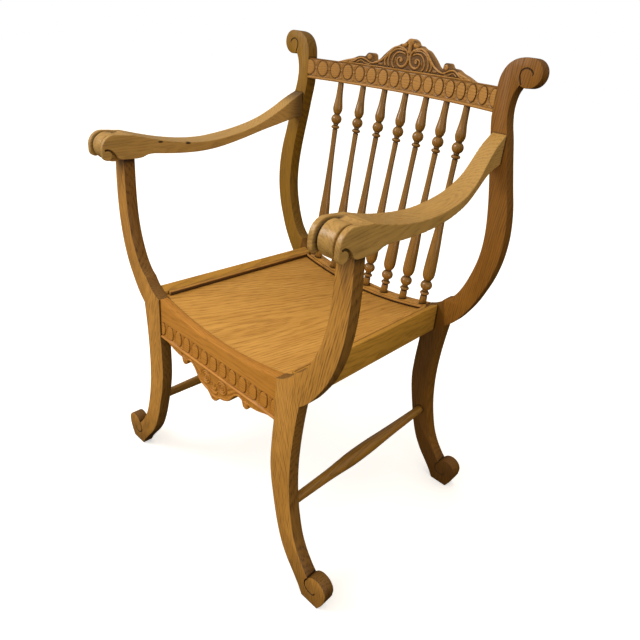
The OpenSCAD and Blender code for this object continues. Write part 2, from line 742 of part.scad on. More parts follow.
module support_dowel(n) {
    color(birch) placed() joint_dowel(n, front_t / 2, 0);
}
module post_dowel(n) {
    color(birch) placed() joint_dowel(n, seat_d + rear_t / 2, 0);
}
module support_dowel_right_1() {
    support_dowel(0);
}
module support_dowel_right_2() {
    support_dowel(1);
}
module support_dowel_left_1() {
    mirror([1, 0, 0]) support_dowel(0);
}
module support_dowel_left_2() {
    mirror([1, 0, 0]) support_dowel(1);
}
module post_dowel_right_1() {
    post_dowel(0);
}
module post_dowel_right_2() {
    post_dowel(1);
}
module post_dowel_left_1() {
    mirror([1, 0, 0]) post_dowel(0);
}
module post_dowel_left_2() {
    mirror([1, 0, 0]) post_dowel(1);
}
module pad_dowel_right() {
    color(birch) placed() pad_dowel(0);
}
module pad_dowel_left() {
    mirror([1, 0, 0]) pad_dowel_right();
}
module tail_dowel_right() {
    color(birch) placed() tail_dowel(0);
}
module tail_dowel_left() {
    mirror([1, 0, 0]) tail_dowel_right();
}
module crest_dowel_right_1() {
    color(birch) placed() crest_dowel(0, 0);
}
module crest_dowel_right_2() {
    color(birch) placed() crest_dowel(1, 0);
}
module crest_dowel_left_1() {
    mirror([1, 0, 0]) crest_dowel_right_1();
}
module crest_dowel_left_2() {
    mirror([1, 0, 0]) crest_dowel_right_2();
}

front_leg_left();
front_leg_right();
rear_leg_left();
rear_leg_right();
arm_support_left();
arm_support_right();
back_post_left();
back_post_right();
arm_left();
arm_right();
crest_rail();
spindle_1();
spindle_2();
spindle_3();
spindle_4();
spindle_5();
spindle_6();
spindle_7();
front_rail();
rear_rail();
side_rail_left();
side_rail_right();
seat_panel();
seat_bead_left();
seat_bead_right();
seat_bead_rear();
stretcher_left();
stretcher_right();
block_front_left();
block_front_right();
block_rear_left();
block_rear_right();
support_dowel_left_1();
support_dowel_left_2();
support_dowel_right_1();
support_dowel_right_2();
post_dowel_left_1();
post_dowel_left_2();
post_dowel_right_1();
post_dowel_right_2();
pad_dowel_left();
pad_dowel_right();
tail_dowel_left();
tail_dowel_right();
crest_dowel_left_1();
crest_dowel_left_2();
crest_dowel_right_1();
crest_dowel_right_2();
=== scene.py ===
"""Dante chair in golden oak: the finished pieces around the chair's solids, in a plain studio.

Sizes are in millimetres as a maker would draw them, with y measured from the face of the front
legs. They are turned to metres in the chair's own frame where a mesh gets its points.
"""
import sys
import logging
import math
from dataclasses import dataclass, field
from enum import Enum
from typing import Callable, Optional, Sequence

import bmesh
import bpy
import numpy as np
from mathutils import Matrix, Vector


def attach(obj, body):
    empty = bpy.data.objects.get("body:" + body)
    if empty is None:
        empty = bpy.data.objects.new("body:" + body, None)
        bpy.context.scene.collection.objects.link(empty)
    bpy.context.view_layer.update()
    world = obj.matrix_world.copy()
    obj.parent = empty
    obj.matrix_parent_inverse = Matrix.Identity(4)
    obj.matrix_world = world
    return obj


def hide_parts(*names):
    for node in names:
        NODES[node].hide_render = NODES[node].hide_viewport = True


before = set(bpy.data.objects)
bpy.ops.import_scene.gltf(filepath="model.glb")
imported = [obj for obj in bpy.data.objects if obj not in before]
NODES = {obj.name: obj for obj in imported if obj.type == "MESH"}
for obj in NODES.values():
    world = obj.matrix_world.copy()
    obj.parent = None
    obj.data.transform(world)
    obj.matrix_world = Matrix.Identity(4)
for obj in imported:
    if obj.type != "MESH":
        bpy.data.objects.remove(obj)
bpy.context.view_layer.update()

LOG = logging.getLogger("dante_chair")
MM = 0.001
MID_Y = 232.5  # drawn y of the frame's origin
WELD = 1e-5  # points that lie closer than this many metres are one
Array = np.ndarray
Height = Callable[[Array, Array], Array]
Spots = Sequence[tuple[float, float]]


class Side(Enum):
    """Side of the chair, as seen from the front; the value is the sign of x there."""

    LEFT = -1
    RIGHT = 1

    @property
    def word(self) -> str:
        """The side's name as the solids use it."""
        return self.name.lower()


class Slot(Enum):
    """Names of material slots in the chair's record; they are passed along with the dressed pieces
    but not applied.
    """

    FRAME = "oak_frame"
    CARVED = "oak_carved"
    SEAT = "oak_seat"
    ARMS = "oak_arms"
    TURNED = "oak_turned"


# ---------------------------------------------------------------- colours and nodes


def linear(hex_code: str) -> tuple[float, float, float, float]:
    """Turn an sRGB hex colour to linear light.

    Args:
        hex_code: colour such as "#A87232".

    Returns:
        Red, green, blue and alpha as Blender's sockets take them.
    """
    channels = [int(hex_code[i:i + 2], 16) / 255 for i in (1, 3, 5)]
    light = [c / 12.92 if c <= 0.04045 else ((c + 0.055) / 1.055) ** 2.4 for c in channels]
    return (light[0], light[1], light[2], 1.0)


def add_node(tree: bpy.types.NodeTree, kind: str, inputs: Optional[dict] = None,
             stops: Spots = (), **settings: object) -> bpy.types.Node:
    """Add a node with its settings and links.

    Args:
        tree: node tree that gets the node.
        kind: Blender's name of the node type, without "ShaderNode" before it.
        inputs: for each input, by name or number, a value, an output socket, or a node whose
            first output is meant.
        stops: position and grey level of each stop, for a colour ramp.
        settings: properties of the node itself.

    Returns:
        The new node.
    """
    node = tree.nodes.new("ShaderNode" + kind)
    for key, value in settings.items():
        setattr(node, key, value)
    for key, value in (inputs or {}).items():
        if isinstance(value, bpy.types.Node):
            value = value.outputs[0]
        if isinstance(value, bpy.types.NodeSocket):
            tree.links.new(value, node.inputs[key])
        else:
            node.inputs[key].default_value = value
    if stops:
        elements = node.color_ramp.elements
        while len(elements) < len(stops):
            elements.new(0.5)
        for element, (place, grey) in zip(elements, stops):
            element.position = place
            element.color = (grey, grey, grey, 1.0)
    return node


def per_metre(size_mm: float) -> float:
    """Texture scale at which one repeat of a pattern has the given size in millimetres."""
    return 1.0 / (size_mm * MM)


def lobes(*sizes_mm: float) -> tuple[float, ...]:
    """Texture scale along each axis, at which a pattern's lobes have the given sizes."""
    return tuple(per_metre(size) for size in sizes_mm)


# ---------------------------------------------------------------- finishes


@dataclass(frozen=True)
class Finish:
    """A finish, which is built once and then found by its name."""

    name: str

    def skin(self, tree: bpy.types.NodeTree) -> dict:
        """Inputs of the finish's shader, with the nodes that drive them in the given tree."""
        raise NotImplementedError

    def material(self) -> bpy.types.Material:
        """Build the finish, or find it if it is built.

        Returns:
            The material.
        """
        if self.name in bpy.data.materials:
            return bpy.data.materials[self.name]
        material = bpy.data.materials.new(self.name)
        material.use_nodes = True
        tree = material.node_tree
        tree.nodes.clear()
        shader = add_node(tree, "BsdfPrincipled", self.skin(tree))
        add_node(tree, "OutputMaterial", {"Surface": shader})
        return material


@dataclass(frozen=True)
class GoldenOak(Finish):
    """Oak stained golden and finished with orange shellac, rubbed to a satin sheen.

    The open pores of each year's early wood hold dark stain, so they draw the grain as short
    dark dashes in lines; the dense late wood between them glows light.
    """

    glow: str
    body: str
    pore: str
    # dark colour of dirt and of painted shade
    dirt: str
    ring_mm: float = 4.2
    grain_depth: float = 0.55
    roughness: float = 0.42
    coat: float = 0.22
    coat_roughness: float = 0.28
    # reach and strength of the painted shade from ambient occlusion
    shade_reach_mm: float = 9.0
    shade_power: float = 1.6
    sway_mm: float = 14.0
    cloud_depth: float = 0.9

    def skin(self, tree: bpy.types.NodeTree) -> dict:
        """Draw the grain, the stain with painted shade, and the coat.

        Args:
            tree: node tree of the material.

        Returns:
            The shader's inputs. They read the piece's own "grain" attribute (metres along the
            board, across it and through it) and its "stain" attribute, from 0 to 1, which holds
            real stain and wear and also painted shade. An ambient occlusion node adds painted
            shade in corners and carved lines.
        """
        board = add_node(tree, "Attribute", attribute_name="grain",
                         attribute_type="GEOMETRY").outputs["Vector"]
        patterns = (
            # slow sway of the year rings, 130 mm long and 32 mm wide
            (lobes(130, 32, 32), 2.5, 0.55),
            # pores 30 mm long and 2.2 mm wide, coarser than real ones so that they show
            (lobes(30, 2.2, 2.2), 2.0, 0.5),
            # broad clouds in the stain, 160 mm long and 45 mm wide
            (lobes(160, 45, 45), 3.0, 0.5),
        )
        sway, pores, cloud = (add_node(tree, "TexNoise", {
            "Vector": add_node(tree, "VectorMath", {0: board, 1: scale}, operation="MULTIPLY"),
            "Scale": 1.0, "Detail": detail, "Roughness": roughness})
            for scale, detail, roughness in patterns)
        # distance from the heart of the log, which lies below the board and leans a little
        split = add_node(tree, "SeparateXYZ", {"Vector": board}).outputs
        swayed = add_node(tree, "Math", {
            0: sway, 1: self.sway_mm * MM, 2: -0.5 * self.sway_mm * MM},
            operation="MULTIPLY_ADD")
        lean = add_node(tree, "Math", {0: split["X"], 1: 0.03, 2: swayed},
                        operation="MULTIPLY_ADD")
        flat = add_node(tree, "CombineXYZ", {"X": 0.0, "Y": split["Y"], "Z": split["Z"]})
        radius = add_node(tree, "VectorMath", {0: flat}, operation="LENGTH").outputs["Value"]
        years = add_node(tree, "Math", {
            0: add_node(tree, "Math", {0: radius, 1: lean}, operation="ADD"),
            1: per_metre(self.ring_mm)}, operation="MULTIPLY")
        early = add_node(tree, "ValToRGB", {
            "Fac": add_node(tree, "Math", {0: years}, operation="FRACT")},
            stops=((0.0, 0.25), (0.08, 1.0), (0.34, 0.7), (0.62, 0.06), (1.0, 0.25)))
        pored = add_node(tree, "Math", {
            0: add_node(tree, "ValToRGB", {"Fac": pores}, stops=((0.44, 0.0), (0.64, 1.0))),
            1: add_node(tree, "Math", {0: early, 1: 0.75, 2: 0.25}, operation="MULTIPLY_ADD")},
            operation="MULTIPLY")
        clouded = add_node(tree, "Math", {
            0: cloud, 1: self.cloud_depth, 2: 0.15 - 0.5 * self.cloud_depth},
            operation="MULTIPLY_ADD")
        drawn = add_node(tree, "Math", {
            0: add_node(tree, "Math", {0: early, 1: 0.45}, operation="MULTIPLY"), 1: clouded},
            operation="ADD", use_clamp=True)
        pore_share = add_node(tree, "Math", {0: pored, 1: self.grain_depth},
                              operation="MULTIPLY")
        # painted shade: ambient occlusion darkens corners and carved lines, and the "stain"
        # attribute adds its share
        open_air = add_node(tree, "AmbientOcclusion", {
            "Distance": self.shade_reach_mm * MM}, samples=6).outputs["AO"]
        kept = add_node(tree, "Attribute", attribute_name="stain",
                        attribute_type="GEOMETRY").outputs["Fac"]
        painted_shade = add_node(tree, "Math", {0: 1.0, 1: open_air}, operation="SUBTRACT")
        shade_and_dirt_share = add_node(tree, "Math", {0: painted_shade, 1: self.shade_power, 2: kept},
                         operation="MULTIPLY_ADD", use_clamp=True)
        colour = linear(self.glow)
        for share, hex_code in ((drawn, self.body), (pore_share, self.pore), (shade_and_dirt_share, self.dirt)):
            colour = add_node(tree, "Mix", {"Factor": share, 6: colour, 7: linear(hex_code)},
                              data_type="RGBA").outputs[2]
        relief = add_node(tree, "Math", {
            0: pored, 1: -1.0,
            2: add_node(tree, "Math", {0: early, 1: -0.3}, operation="MULTIPLY")},
            operation="MULTIPLY_ADD")
        return {
            "Base Color": colour, "IOR": 1.5, "Specular IOR Level": 0.3,
            "Roughness": add_node(tree, "Math", {0: pored, 1: 0.18, 2: self.roughness},
                                  operation="MULTIPLY_ADD"),
            "Normal": add_node(tree, "Bump", {
                "Height": relief, "Strength": 0.35, "Distance": 0.35 * MM}),
            "Coat Weight": self.coat, "Coat Roughness": self.coat_roughness, "Coat IOR": 1.52}


@dataclass(frozen=True)
class PlainBirch(Finish):
    """Bare birch of dowels and glue blocks: pale, close grained and matt."""

    name: str = "bare_birch"
    light: str = "#D6BF96"
    streak: str = "#B99C6C"

    def skin(self, tree: bpy.types.NodeTree) -> dict:
        """Draw the birch's streaks.

        Args:
            tree: node tree of the material.

        Returns:
            The shader's inputs, which read Object coordinates.
        """
        place = add_node(tree, "TexCoord").outputs["Object"]
        streaks = add_node(tree, "TexNoise", {
            "Vector": add_node(tree, "Mapping", {"Vector": place, "Scale": lobes(14, 3, 3)}),
            "Scale": 1.0, "Detail": 4.0})
        colour = add_node(tree, "Mix", {
            "Factor": streaks, 6: linear(self.light), 7: linear(self.streak)}, data_type="RGBA")
        return {"Base Color": colour.outputs[2], "Roughness": 0.62,
                "Normal": add_node(tree, "Bump", {
                    "Height": streaks, "Strength": 0.2, "Distance": 0.2 * MM})}


@dataclass(frozen=True)
class StudioPaper(Finish):
    """Seamless paper under the chair: matt and nearly white, with a faint mottle."""

    name: str = "studio_paper"
    light: str = "#FBFAF8"
    shade: str = "#F4F3F1"

    def skin(self, tree: bpy.types.NodeTree) -> dict:
        """Draw the paper, which glows a little so that it stays white under the chair.

        Args:
            tree: node tree of the material.

        Returns:
            The shader's inputs.
        """
        mottle = add_node(tree, "TexNoise", {
            "Vector": add_node(tree, "TexCoord").outputs["Object"],
            "Scale": per_metre(400), "Detail": 2.0})
        colour = add_node(tree, "Mix", {
            "Factor": mottle, 6: linear(self.light), 7: linear(self.shade)}, data_type="RGBA")
        return {"Base Color": colour.outputs[2], "Roughness": 0.9, "Specular IOR Level": 0.1,
                "Emission Color": linear("#FFFFFF"), "Emission Strength": 0.45}


# warm mid gold with clear dark pores, on the front legs and supports
FRAME_OAK = GoldenOak("golden_oak_shellac", "#D69A46", "#B07A30", "#66421A", "#361E06",
                      grain_depth=0.72, shade_reach_mm=4.0, coat=0.05)
# browner gold with quiet grain, on the right back post: darker wood, and painted shade for the
# dimmer light at the back
POST_OAK = GoldenOak("golden_oak_posts_shaded", "#A06A22", "#805014", "#50330E", "#281606",
                     grain_depth=0.5, shade_reach_mm=4.0, coat=0.05)
# olive gold with quiet grain, on the left back post: darker wood, and painted shade for the dimmer
# light at the back
OLIVE_OAK = GoldenOak("golden_oak_left_post_shaded", "#A6781E", "#805A16", "#523A12", "#2A1A08",
                      grain_depth=0.5, shade_reach_mm=4.0, coat=0.05)
# deep brown with hardly a sheen, on the back legs: darker wood, and painted shade under the seat
SHADE_OAK = GoldenOak("golden_oak_back_legs_shaded", "#82561A", "#684210", "#442C0C", "#221305",
                      grain_depth=0.5, shade_reach_mm=4.0, coat=0.03)
# light yellow gold, on the side rails
SIDE_OAK = GoldenOak("golden_oak_sides", "#D0983A", "#AE7C26", "#785018", "#33200A",
                     grain_depth=0.45, shade_reach_mm=4.0, coat=0.05)
# warm gold, with red-brown painted shade and pooled stain in the carving, on the front rail
CARVED_OAK = GoldenOak("golden_oak_carved", "#D6923A", "#B87A28", "#7E501A", "#6A3C10",
                       ring_mm=5.0, grain_depth=0.4, shade_reach_mm=3.0, shade_power=0.8, coat=0.04)
# quiet gold with a fine sheen on its ridges, on the crest rail
CREST_OAK = GoldenOak("golden_oak_crest", "#C69046", "#A67434", "#64421A", "#462A0E",
                      ring_mm=5.0, grain_depth=0.3, shade_reach_mm=3.0, shade_power=1.1, coat=0.3,
                      coat_roughness=0.2)
# brightest gold, with broad swaying rings and cloudy stain, on the seat
SEAT_OAK = GoldenOak("golden_oak_seat", "#DAA24C", "#B87F2F", "#8A581A", "#4A2E12",
                     ring_mm=8.0, coat=0.08, shade_reach_mm=3.0, sway_mm=24.0, cloud_depth=1.1)
# pale dusty gold polished by hands, on the arms
ARM_OAK = GoldenOak("golden_oak_arms", "#C89C54", "#B28846", "#6E4E22", "#2A1A0A",
                    roughness=0.36, coat=0.3, coat_roughness=0.2, shade_reach_mm=5.0,
                    shade_power=1.2, grain_depth=0.34)
# brown under a glossy coat that draws highlights, on the turned pieces
TURNED_OAK = GoldenOak("golden_oak_turned", "#A87628", "#7A561C", "#443010", "#241506",
                       ring_mm=3.4, grain_depth=0.35, roughness=0.4, coat=1.0,
                       coat_roughness=0.16)
BIRCH = PlainBirch()


# ---------------------------------------------------------------- bench: tools for the meshes


def take(*objects: bpy.types.Object) -> None:
    """Select the given objects and nothing else; the first is the active one.

    Args:
        objects: objects to select.
    """
    if bpy.context.object is not None and bpy.context.object.mode != "OBJECT":
        bpy.ops.object.mode_set(mode="OBJECT")
    bpy.ops.object.select_all(action="DESELECT")
    for item in objects:
        item.select_set(True)
    bpy.context.view_layer.objects.active = objects[0] if objects else None


def edit(item: bpy.types.Object, chosen: Optional[Array] = None) -> None:
    """Open edit mode on a piece with the given vertices selected.

    Args:
        item: the piece.
        chosen: one flag for each vertex; everything is selected without it.
    """
    take(item)
    bpy.ops.object.mode_set(mode="EDIT")
    bpy.ops.mesh.select_mode(type="VERT")
    bpy.ops.mesh.select_all(action="SELECT" if chosen is None else "DESELECT")
    if chosen is not None:
        bpy.ops.object.mode_set(mode="OBJECT")
        item.data.vertices.foreach_set("select", np.asarray(chosen, dtype=bool))
        bpy.ops.object.mode_set(mode="EDIT")


def close_edit() -> None:
    """Go back to object mode."""
    bpy.ops.object.mode_set(mode="OBJECT")


def points(item: bpy.types.Object) -> Array:
    """Read a piece's vertices.

    Args:
        item: the piece.

    Returns:
        One row for each vertex, in metres.
    """
    flat = np.empty(len(item.data.vertices) * 3)
    item.data.vertices.foreach_get("co", flat)
    return flat.reshape(-1, 3)


def drawn_points(item: bpy.types.Object, face_y: float = 0.0) -> Array:
    """Vertices of a piece as x, y and z in drawn millimetres, with y from the given face."""
    return (points(item) / MM + (0, MID_Y - face_y, 0)).T


def move_points(item: bpy.types.Object, places: Array) -> None:
    """Give a piece new vertex places, in metres."""
    item.data.vertices.foreach_set("co", np.asarray(places, dtype=float).ravel())
    item.data.update()


def in_frame(x: Array, y: Array, z: Array) -> Array:
    """Turn drawn millimetres to points of the chair's frame.

    Args:
        x: across the chair.
        y: back from the face of the front legs.
        z: up from the floor.

    Returns:
        One point in metres for each value.
    """
    x, y, z = np.broadcast_arrays(x, y, z)
    return np.stack([x, y - MID_Y, z], axis=-1) * MM


def modify(item: bpy.types.Object, kind: str, **settings: object) -> None:
    """Add a modifier with its settings and apply it.

    Args:
        item: the piece.
        kind: Blender's name of the modifier type.
        settings: properties of the modifier.
    """
    take(item)
    modifier = item.modifiers.new(kind.lower(), kind)
    for key, value in settings.items():
        setattr(modifier, key, value)
    bpy.ops.object.modifier_apply(modifier=modifier.name)


def soften(item: bpy.types.Object, width_mm: float, **limit: object) -> None:
    """Round a piece's edges as a scraper and wear do.

    Args:
        item: the piece.
        width_mm: width of the rounding.
        limit: the Bevel modifier's settings that say which edges are rounded.
    """
    modify(item, "BEVEL", width=width_mm * MM, segments=2, use_clamp_overlap=True,
           miter_outer="MITER_ARC", **limit)


def smooth(item: bpy.types.Object, angle: float = 40.0) -> None:
    """Shade a piece smooth up to the given angle between faces, in degrees."""
    take(item)
    bpy.ops.object.shade_smooth_by_angle(angle=math.radians(angle))


def outward(item: bpy.types.Object) -> None:
    """Merge a piece's doubles and turn its faces outwards.

    Args:
        item: the piece.
    """
    edit(item)
    bpy.ops.mesh.remove_doubles(threshold=WELD)
    bpy.ops.mesh.normals_make_consistent(inside=False)
    close_edit()


def new_object(name: str, data: bpy.types.ID) -> bpy.types.Object:
    """Add an object with the given data to the scene.

    Args:
        name: name of the object.
        data: its mesh, curve, lamp or camera.

    Returns:
        The object.
    """
    item = bpy.data.objects.new(name, data)
    bpy.context.scene.collection.objects.link(item)
    return item


def prism(name: str, corners: Array, depth: Sequence[float]) -> bpy.types.Object:
    """Saw a closed board to an outline.

    Args:
        name: name of the board.
        corners: the outline, as points in metres.
        depth: way from this face of the board to the other, in metres.

    Returns:
        The board.
    """
    take()
    bpy.ops.mesh.primitive_circle_add(vertices=len(corners), radius=0.1, fill_type="NGON")
    item = bpy.context.object
    item.name = item.data.name = name
    move_points(item, corners)
    edit(item)
    bpy.ops.mesh.extrude_region_move(TRANSFORM_OT_translate={"value": depth})
    close_edit()
    outward(item)
    return item


def cut_out(item: bpy.types.Object, cutter: bpy.types.Object) -> None:
    """Cut a closed mesh out of a piece, and throw the cutter away."""
    modify(item, "BOOLEAN", object=cutter, operation="DIFFERENCE", solver="EXACT")
    bpy.data.objects.remove(cutter)


def cad_copy(node: str, name: str) -> bpy.types.Object:
    """Copy a solid's mesh to a new piece and merge its loose triangles.

    Args:
        node: the solid's name.
        name: name of the new piece.

    Returns:
        The new piece.
    """
    mesh = NODES[node].data.copy()
    mesh.name = name
    mesh.materials.clear()
    item = new_object(name, mesh)
    take(item)
    if mesh.has_custom_normals:
        bpy.ops.mesh.customdata_custom_splitnormals_clear()
    edit(item)
    bpy.ops.mesh.remove_doubles(threshold=WELD)
    bpy.ops.mesh.dissolve_limited(angle_limit=math.radians(0.5))
    close_edit()
    return item


def outline_of(node: str, y_mm: float) -> Array:
    """Trace the outer edge of a solid's flat face.

    Args:
        node: the solid's name.
        y_mm: where the face lies, back from the face of the front legs.

    Returns:
        The corners in order, as x and z in millimetres.
    """
    plane = (y_mm - MID_Y) * MM
    mesh = bmesh.new()
    mesh.from_mesh(NODES[node].data)
    bmesh.ops.remove_doubles(mesh, verts=mesh.verts, dist=WELD)
    face_edges: dict[bmesh.types.BMEdge, int] = {}
    for face in mesh.faces:
        if all(abs(v.co.y - plane) < WELD for v in face.verts):
            for e in face.edges:
                face_edges[e] = face_edges.get(e, 0) + 1
    rim: dict[bmesh.types.BMVert, list[bmesh.types.BMVert]] = {}
    for e, count in face_edges.items():
        if count == 1:
            a, b = e.verts
            rim.setdefault(a, []).append(b)
            rim.setdefault(b, []).append(a)
    start = max(rim, key=lambda v: v.co.z)
    loop, last, here = [start], None, start
    while True:
        step = [v for v in rim[here] if v is not last][0]
        if step is start:
            break
        loop.append(step)
        last, here = here, step
    result = np.array([[v.co.x, v.co.z] for v in loop]) / MM
    mesh.free()
    return result


def fair_steps(a: Array, b: Array, c: Array, d: Array, steps: int) -> list[Array]:
    """Points of the smooth curve through a, b, c and d, from b up to but not at c.

    Args:
        a: point before the start.
        b: start.
        c: end.
        d: point after the end.
        steps: number of points.

    Returns:
        The points in order.
    """
    return [0.5 * (2 * b + (c - a) * t + (2 * a - 5 * b + 4 * c - d) * t * t
                   + (3 * b - a - 3 * c + d) * t ** 3) for t in np.arange(steps) / steps]


def curve_through(spots: Spots, steps: int = 6) -> Array:
    """Draw a smooth line through spots.

    Args:
        spots: the places that it goes through.
        steps: number of steps from each to the next.

    Returns:
        The line's points.
    """
    p = np.array(spots, dtype=float)
    drawn = []
    for i in range(len(p) - 1):
        drawn += fair_steps(p[max(i - 1, 0)], p[i], p[i + 1], p[min(i + 2, len(p) - 1)], steps)
    return np.array(drawn + [p[-1]])


def faired(corners: Array, step: float = 3.0, sharp: float = 26.0, straight: float = 40.0,
           bend: float = 9.0) -> Array:
    """Draw a closed outline again as fair curves between its sharp corners.

    Args:
        corners: x and z of the outline's points.
        step: wanted distance between points.
        sharp: a turn of more degrees than this stays a corner.
        straight: a side longer than this is straight.
        bend: a turn of more degrees than this stays a corner at the end of a straight side.

    Returns:
        The new outline.
    """
    n = len(corners)
    before, after = np.roll(corners, 1, axis=0), np.roll(corners, -1, axis=0)
    into, out = corners - before, after - corners
    turn = np.degrees(np.abs(np.arctan2(into[:, 0] * out[:, 1] - into[:, 1] * out[:, 0],
                                        (into * out).sum(axis=1))))
    long_side = (np.hypot(*into.T) > straight) | (np.hypot(*out.T) > straight)
    corner = (turn > sharp) | (long_side & (turn > bend))
    drawn = []
    for i in range(n):
        a, b, c, d = (corners[(i + k) % n] for k in (-1, 0, 1, 2))
        if corner[i]:
            a = 2 * b - c
        if corner[(i + 1) % n]:
            d = 2 * c - b
        pieces = max(1, int(round(np.hypot(*(c - b)) / step)))
        drawn += fair_steps(a, b, c, d, pieces)
    return np.array(drawn)


def lay_grain(item: bpy.types.Object, along: Sequence[float], seed: int,
              face: Sequence[float] = (0, 1, 0), heart: tuple[float, float] = (0, 35)) -> None:
    """Store where each point lies in the board that the piece is sawn from.

    Args:
        item: the piece.
        along: direction of the grain.
        seed: number that picks the part of the log.
        face: direction square to the board's wide face.
        heart: how far the log's heart lies across the board and below it, in millimetres.
    """
    # each board comes from its own place along the log and about its heart
    rng = np.random.default_rng(seed)
    grain = np.array(along, dtype=float)
    grain /= np.linalg.norm(grain)
    across = np.cross(np.array(face, dtype=float), grain)
    across /= np.linalg.norm(across)
    through = np.cross(grain, across)
    places = points(item)
    middle = (places.min(axis=0) + places.max(axis=0)) / 2
    local = (places - middle) @ np.stack([grain, across, through]).T
    shift = [rng.uniform(-2, 2), (heart[0] + rng.uniform(-20, 20)) * MM,
             (heart[1] + rng.uniform(0, 25)) * MM]
    values = local + np.array(shift)
    layer = item.data.attributes.new("grain", "FLOAT_VECTOR", "POINT")
    layer.data.foreach_set("vector", values.ravel())


def lay_stain_and_shade(item: bpy.types.Object, share: Array) -> None:
    """Store how dark each point of a piece is, from 0 to 1: old stain, wax and wear, and painted
    shade.
    """
    layer = item.data.attributes.new("stain", "FLOAT", "POINT")
    layer.data.foreach_set("value", np.clip(share, 0, 1))


def deliver(item: bpy.types.Object, finish: Finish, slot: Slot, *nodes: str) -> None:
    """Dress a piece, mount it on the chair and report it.

    Args:
        item: the finished mesh.
        finish: its finish.
        slot: its material slot in the record; not used.
        nodes: solids that the piece stands for.
    """
    item.data.materials.clear()
    item.data.materials.append(finish.material())
    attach(item, "root")
    if nodes:
        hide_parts(*nodes)
    LOG.info("%s: %d faces for %s", item.name, len(item.data.polygons), ", ".join(nodes))


# ---------------------------------------------------------------- frames


@dataclass(frozen=True)
class Scroll:
    """Carved line of a scroll end, as seen on the right side of the chair.

    Its way is given in shares of the scroll's radius, from the notch to the eye.
    """

    x: float
    z: float
    radius: float
    way: Spots
    line: float = 1.55

    def cutter(self, side: Side, face_y: float) -> bpy.types.Object:
        """Build the bent rod that carves the line.

        Args:
            side: side of the chair.
            face_y: y of the carved face, in millimetres.

        Returns:
            The rod as a closed mesh.
        """
        way = curve_through(self.way, 5) * self.radius
        curve = bpy.data.curves.new("volute_rod", "CURVE")
        curve.dimensions = "3D"
        curve.bevel_depth = self.line * MM
        curve.bevel_resolution = 3
        curve.use_fill_caps = True
        line = curve.splines.new("POLY")
        line.points.add(len(way) - 1)
        for i, point in enumerate(line.points):
            # the line thins where it comes to the eye
            left = 1 - i / (len(way) - 1)
            place = in_frame(side.value * (self.x + way[i, 0]), face_y - 0.1, self.z + way[i, 1])
            point.co = (*place, 1.0)
            point.radius = min(1.0, 0.55 + 3 * left)
        rod = new_object("volute_rod", curve)
        take(rod)
        bpy.ops.object.convert(target="MESH")
        rod = bpy.context.object
        outward(rod)
        return rod


